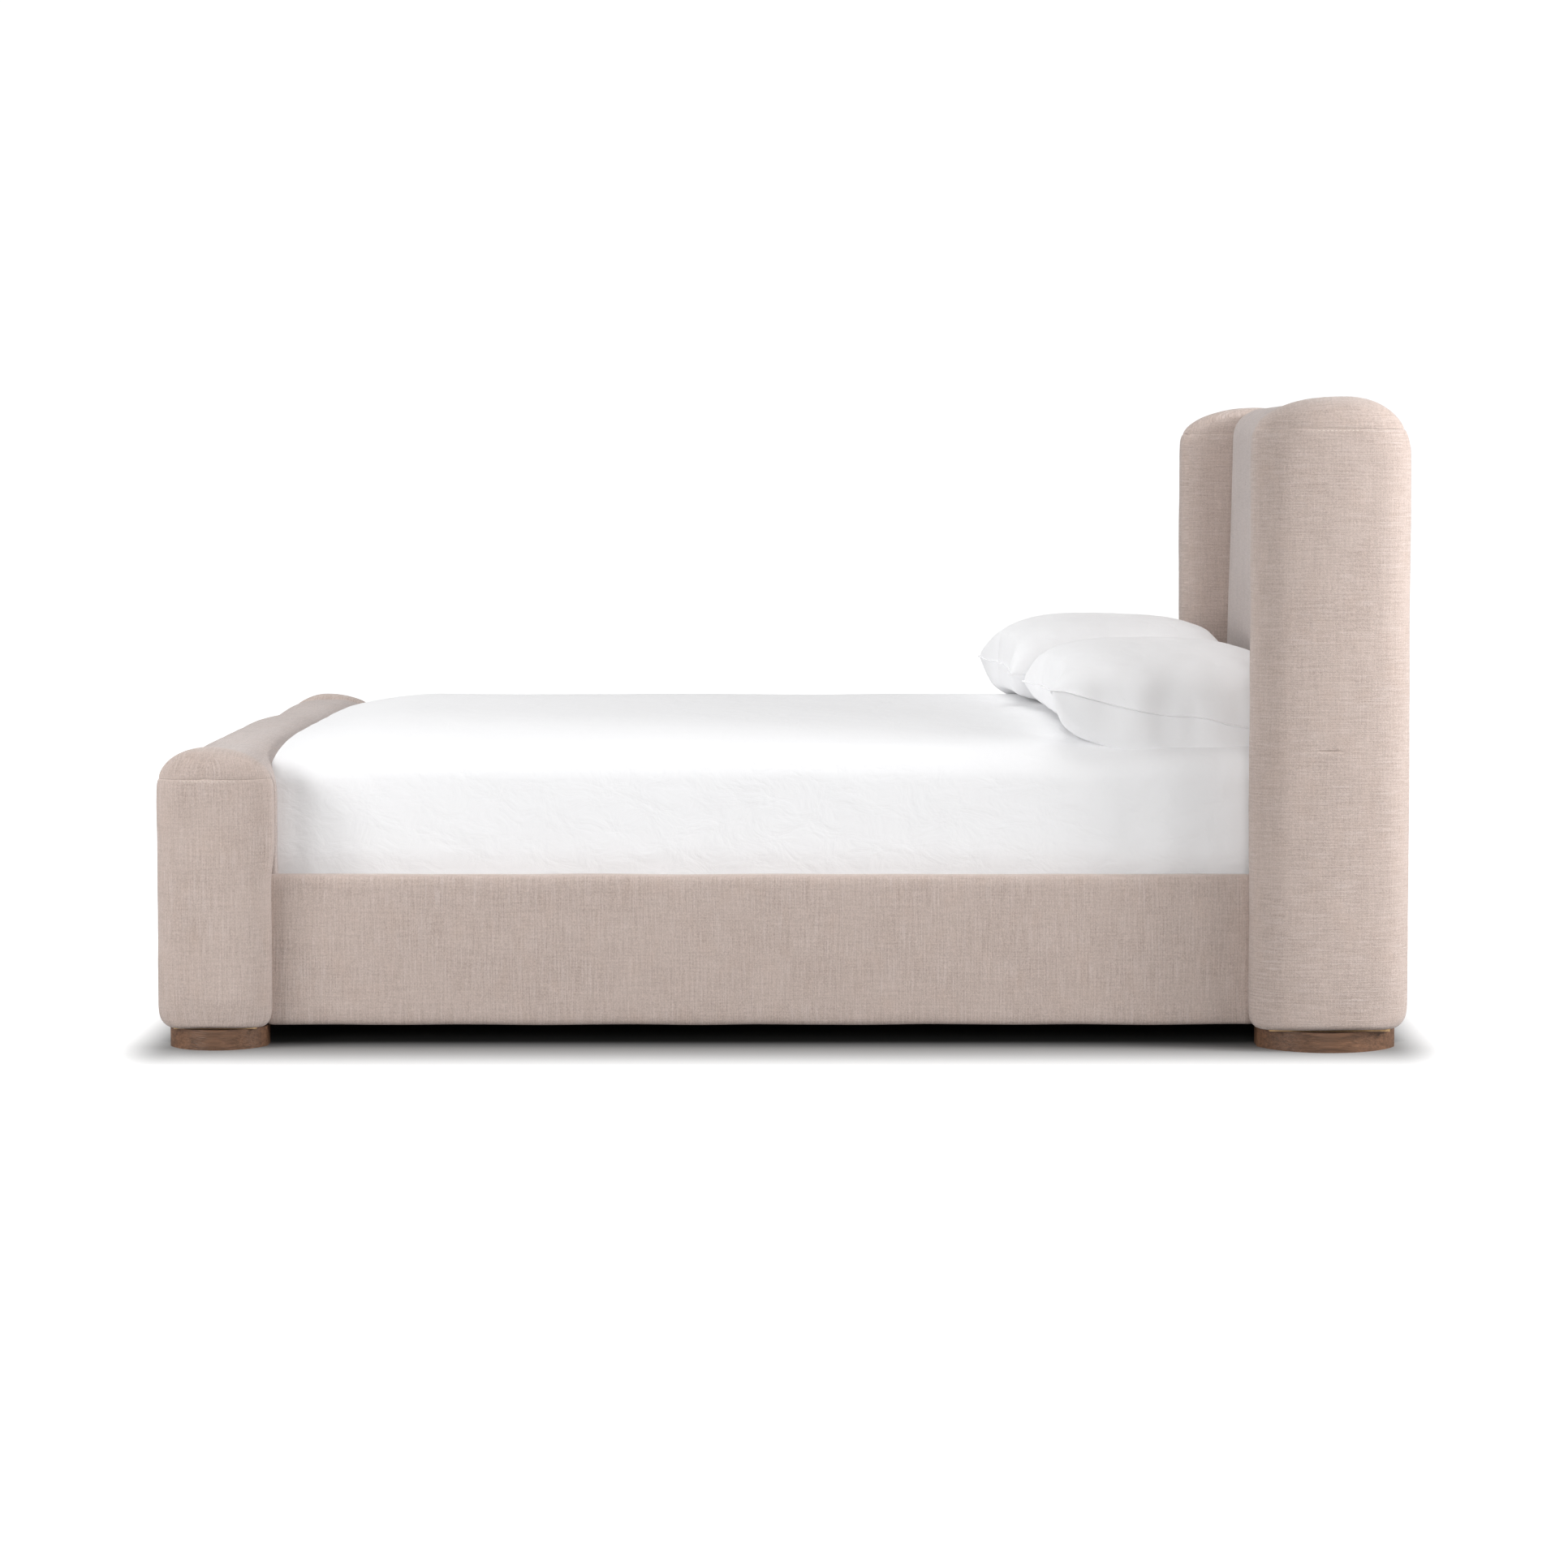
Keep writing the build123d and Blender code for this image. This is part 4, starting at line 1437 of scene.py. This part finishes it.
class BED_OT_stage(bpy.types.Operator):
    """Lays the pale floor and sets up the studio light and the camera."""

    bl_idname = "bed.stage"
    bl_label = "Stage"

    def execute(self, context):
        scene = context.scene
        self.floor()
        self.surround(scene)
        self.lamp("head_light", (3.4, 4.2, 2.4), (0.9, 0.9, 0.7), 1.5, 42)
        self.lamp("head_side_light", (1.7, 3.8, 1.8), (0.9, 1.1, 0.7), 1.2, 108)
        self.lamp("foot_light", (2.4, -3.7, 1.8), (0.9, -1.15, 0.35), 1.3, 56)
        self.lamp("low_foot_light", (4.6, -4.2, 1.2), (0.8, -0.8, 0.3), 1.5, 55)
        self.lamp("front_fill", (7.0, 0.6, 2.2), (0.8, 0.0, 0.5), 2.2, 80)
        self.lamp("back_light", (-2.2, -4.0, 3.0), (-0.2, 0.6, 0.7), 2.0, 45)
        self.lamp("overhead_light", (-0.9, 0.2, 4.6), (-0.3, 0.1, 0.5), 3.2, 68)
        self.camera(scene)
        scene.view_settings.view_transform = "Standard"
        return {"FINISHED"}

    def floor(self):
        """A floor that the camera sees as white from its glow, apart from near the bed: there
        the glow fades out and the colour under the bed darkens, a painted shadow on top of the
        bed's own.
        """
        bpy.ops.object.select_all(action="DESELECT")
        bpy.ops.mesh.primitive_plane_add(size=60, location=(0, 0, 0))
        floor = bpy.context.object
        floor.name = "floor"
        f = Finish("floor_paint")
        x, y, z = f.place()
        beside = f.outside(x, 0.82)
        beyond = f.outside(y, 1.20) * 2.2
        reach = (beside * beside + beyond * beyond) ** 0.5
        # painted shadow: the glow, seen by the camera only, fades out towards the bed
        clear = f.bounded(reach / 0.38)
        clear = clear * clear * (3 - 2 * clear)
        seen = f.node("ShaderNodeLightPath")
        glow = f.mix(clear * seen, (0, 0, 0), WHITE)
        tone = f.grain(x / 0.8, y / 0.8, 0.0)
        colour = f.mix(tone, (0.30, 0.30, 0.30), (0.33, 0.33, 0.33))
        # painted shadow: the floor's colour darkens under the bed
        painted_shadow_under = f.bounded((f.outside(x, 0.75) + f.outside(y, 1.16)) / 0.10)
        colour = f.mix(painted_shadow_under, (0.035, 0.034, 0.033), colour)
        paint = f.finish(colour, 0.8, Emission_Color=glow, Emission_Strength=1.0)
        floor.data.materials.append(paint)

    def surround(self, scene):
        """A white studio, brighter to look at than it is as a light."""
        f = Finish("studio_surround", "worlds")
        glows = [
            f.node("ShaderNodeBackground", {}, {"Color": (*WHITE, 1), "Strength": strength})
            for strength in (0.30, 1.05)
        ]
        seen = f.node("ShaderNodeLightPath")
        mixed = f.node("ShaderNodeMixShader", {}, {0: seen, 1: glows[0], 2: glows[1]})
        f.node("ShaderNodeOutputWorld", {}, {"Surface": mixed})
        scene.world = f.block

    def lamp(self, name, place, aim, size, power):
        """A round studio lamp."""
        data = bpy.data.lights.new(name, "AREA")
        data.shape = "DISK"
        data.size = size
        data.energy = power
        lamp = bpy.data.objects.new(name, data)
        lamp.location = place
        lamp.rotation_mode = "QUATERNION"
        lamp.rotation_quaternion = (Vector(aim) - Vector(place)).to_track_quat("-Z", "Y")
        bpy.context.scene.collection.objects.link(lamp)

    def camera(self, scene):
        """The view square to the bed's right side, a little above it."""
        data = bpy.data.cameras.new("camera")
        data.lens = 84.8
        data.sensor_width = 36
        data.shift_x = -0.0554
        data.shift_y = -0.0860
        camera = bpy.data.objects.new("camera", data)
        camera.location = (8.144, 0.177, 1.1755)
        pitch = math.radians(2.98)
        camera.rotation_euler = (math.radians(90) - pitch, 0, math.radians(90))
        scene.collection.objects.link(camera)
        scene.camera = camera


class BED_PT_panel(bpy.types.Panel):
    """Lists the steps that build the bed."""

    bl_idname = "BED_PT_panel"
    bl_label = "Upholstered bed"
    bl_space_type = "VIEW_3D"
    bl_region_type = "UI"
    bl_category = "Bed"

    def draw(self, context):
        for group in (context.scene.bed_finishes, context.scene.bed_sizes):
            for name in group.__annotations__:
                self.layout.prop(group, name)
        for step in STEPS:
            self.layout.operator(step.bl_idname)


STEPS = (
    BED_OT_stage,
    BED_OT_wings,
    BED_OT_headboard,
    BED_OT_footboard,
    BED_OT_posts,
    BED_OT_side_rails,
    BED_OT_mattress,
    BED_OT_pillows,
    BED_OT_woodwork,
    BED_OT_hardware,
)
CLASSES = (BedFinishes, BedSizes, *STEPS, BED_PT_panel)


def register():
    for cls in CLASSES:
        bpy.utils.register_class(cls)
    bpy.types.Scene.bed_finishes = bpy.props.PointerProperty(type=BedFinishes)
    bpy.types.Scene.bed_sizes = bpy.props.PointerProperty(type=BedSizes)


def unregister():
    del bpy.types.Scene.bed_sizes
    del bpy.types.Scene.bed_finishes
    for cls in reversed(CLASSES):
        bpy.utils.unregister_class(cls)


def main():
    register()
    for step in STEPS:
        group, name = step.bl_idname.split(".")
        getattr(getattr(bpy.ops, group), name)()


if __name__ == "__main__":
    main()
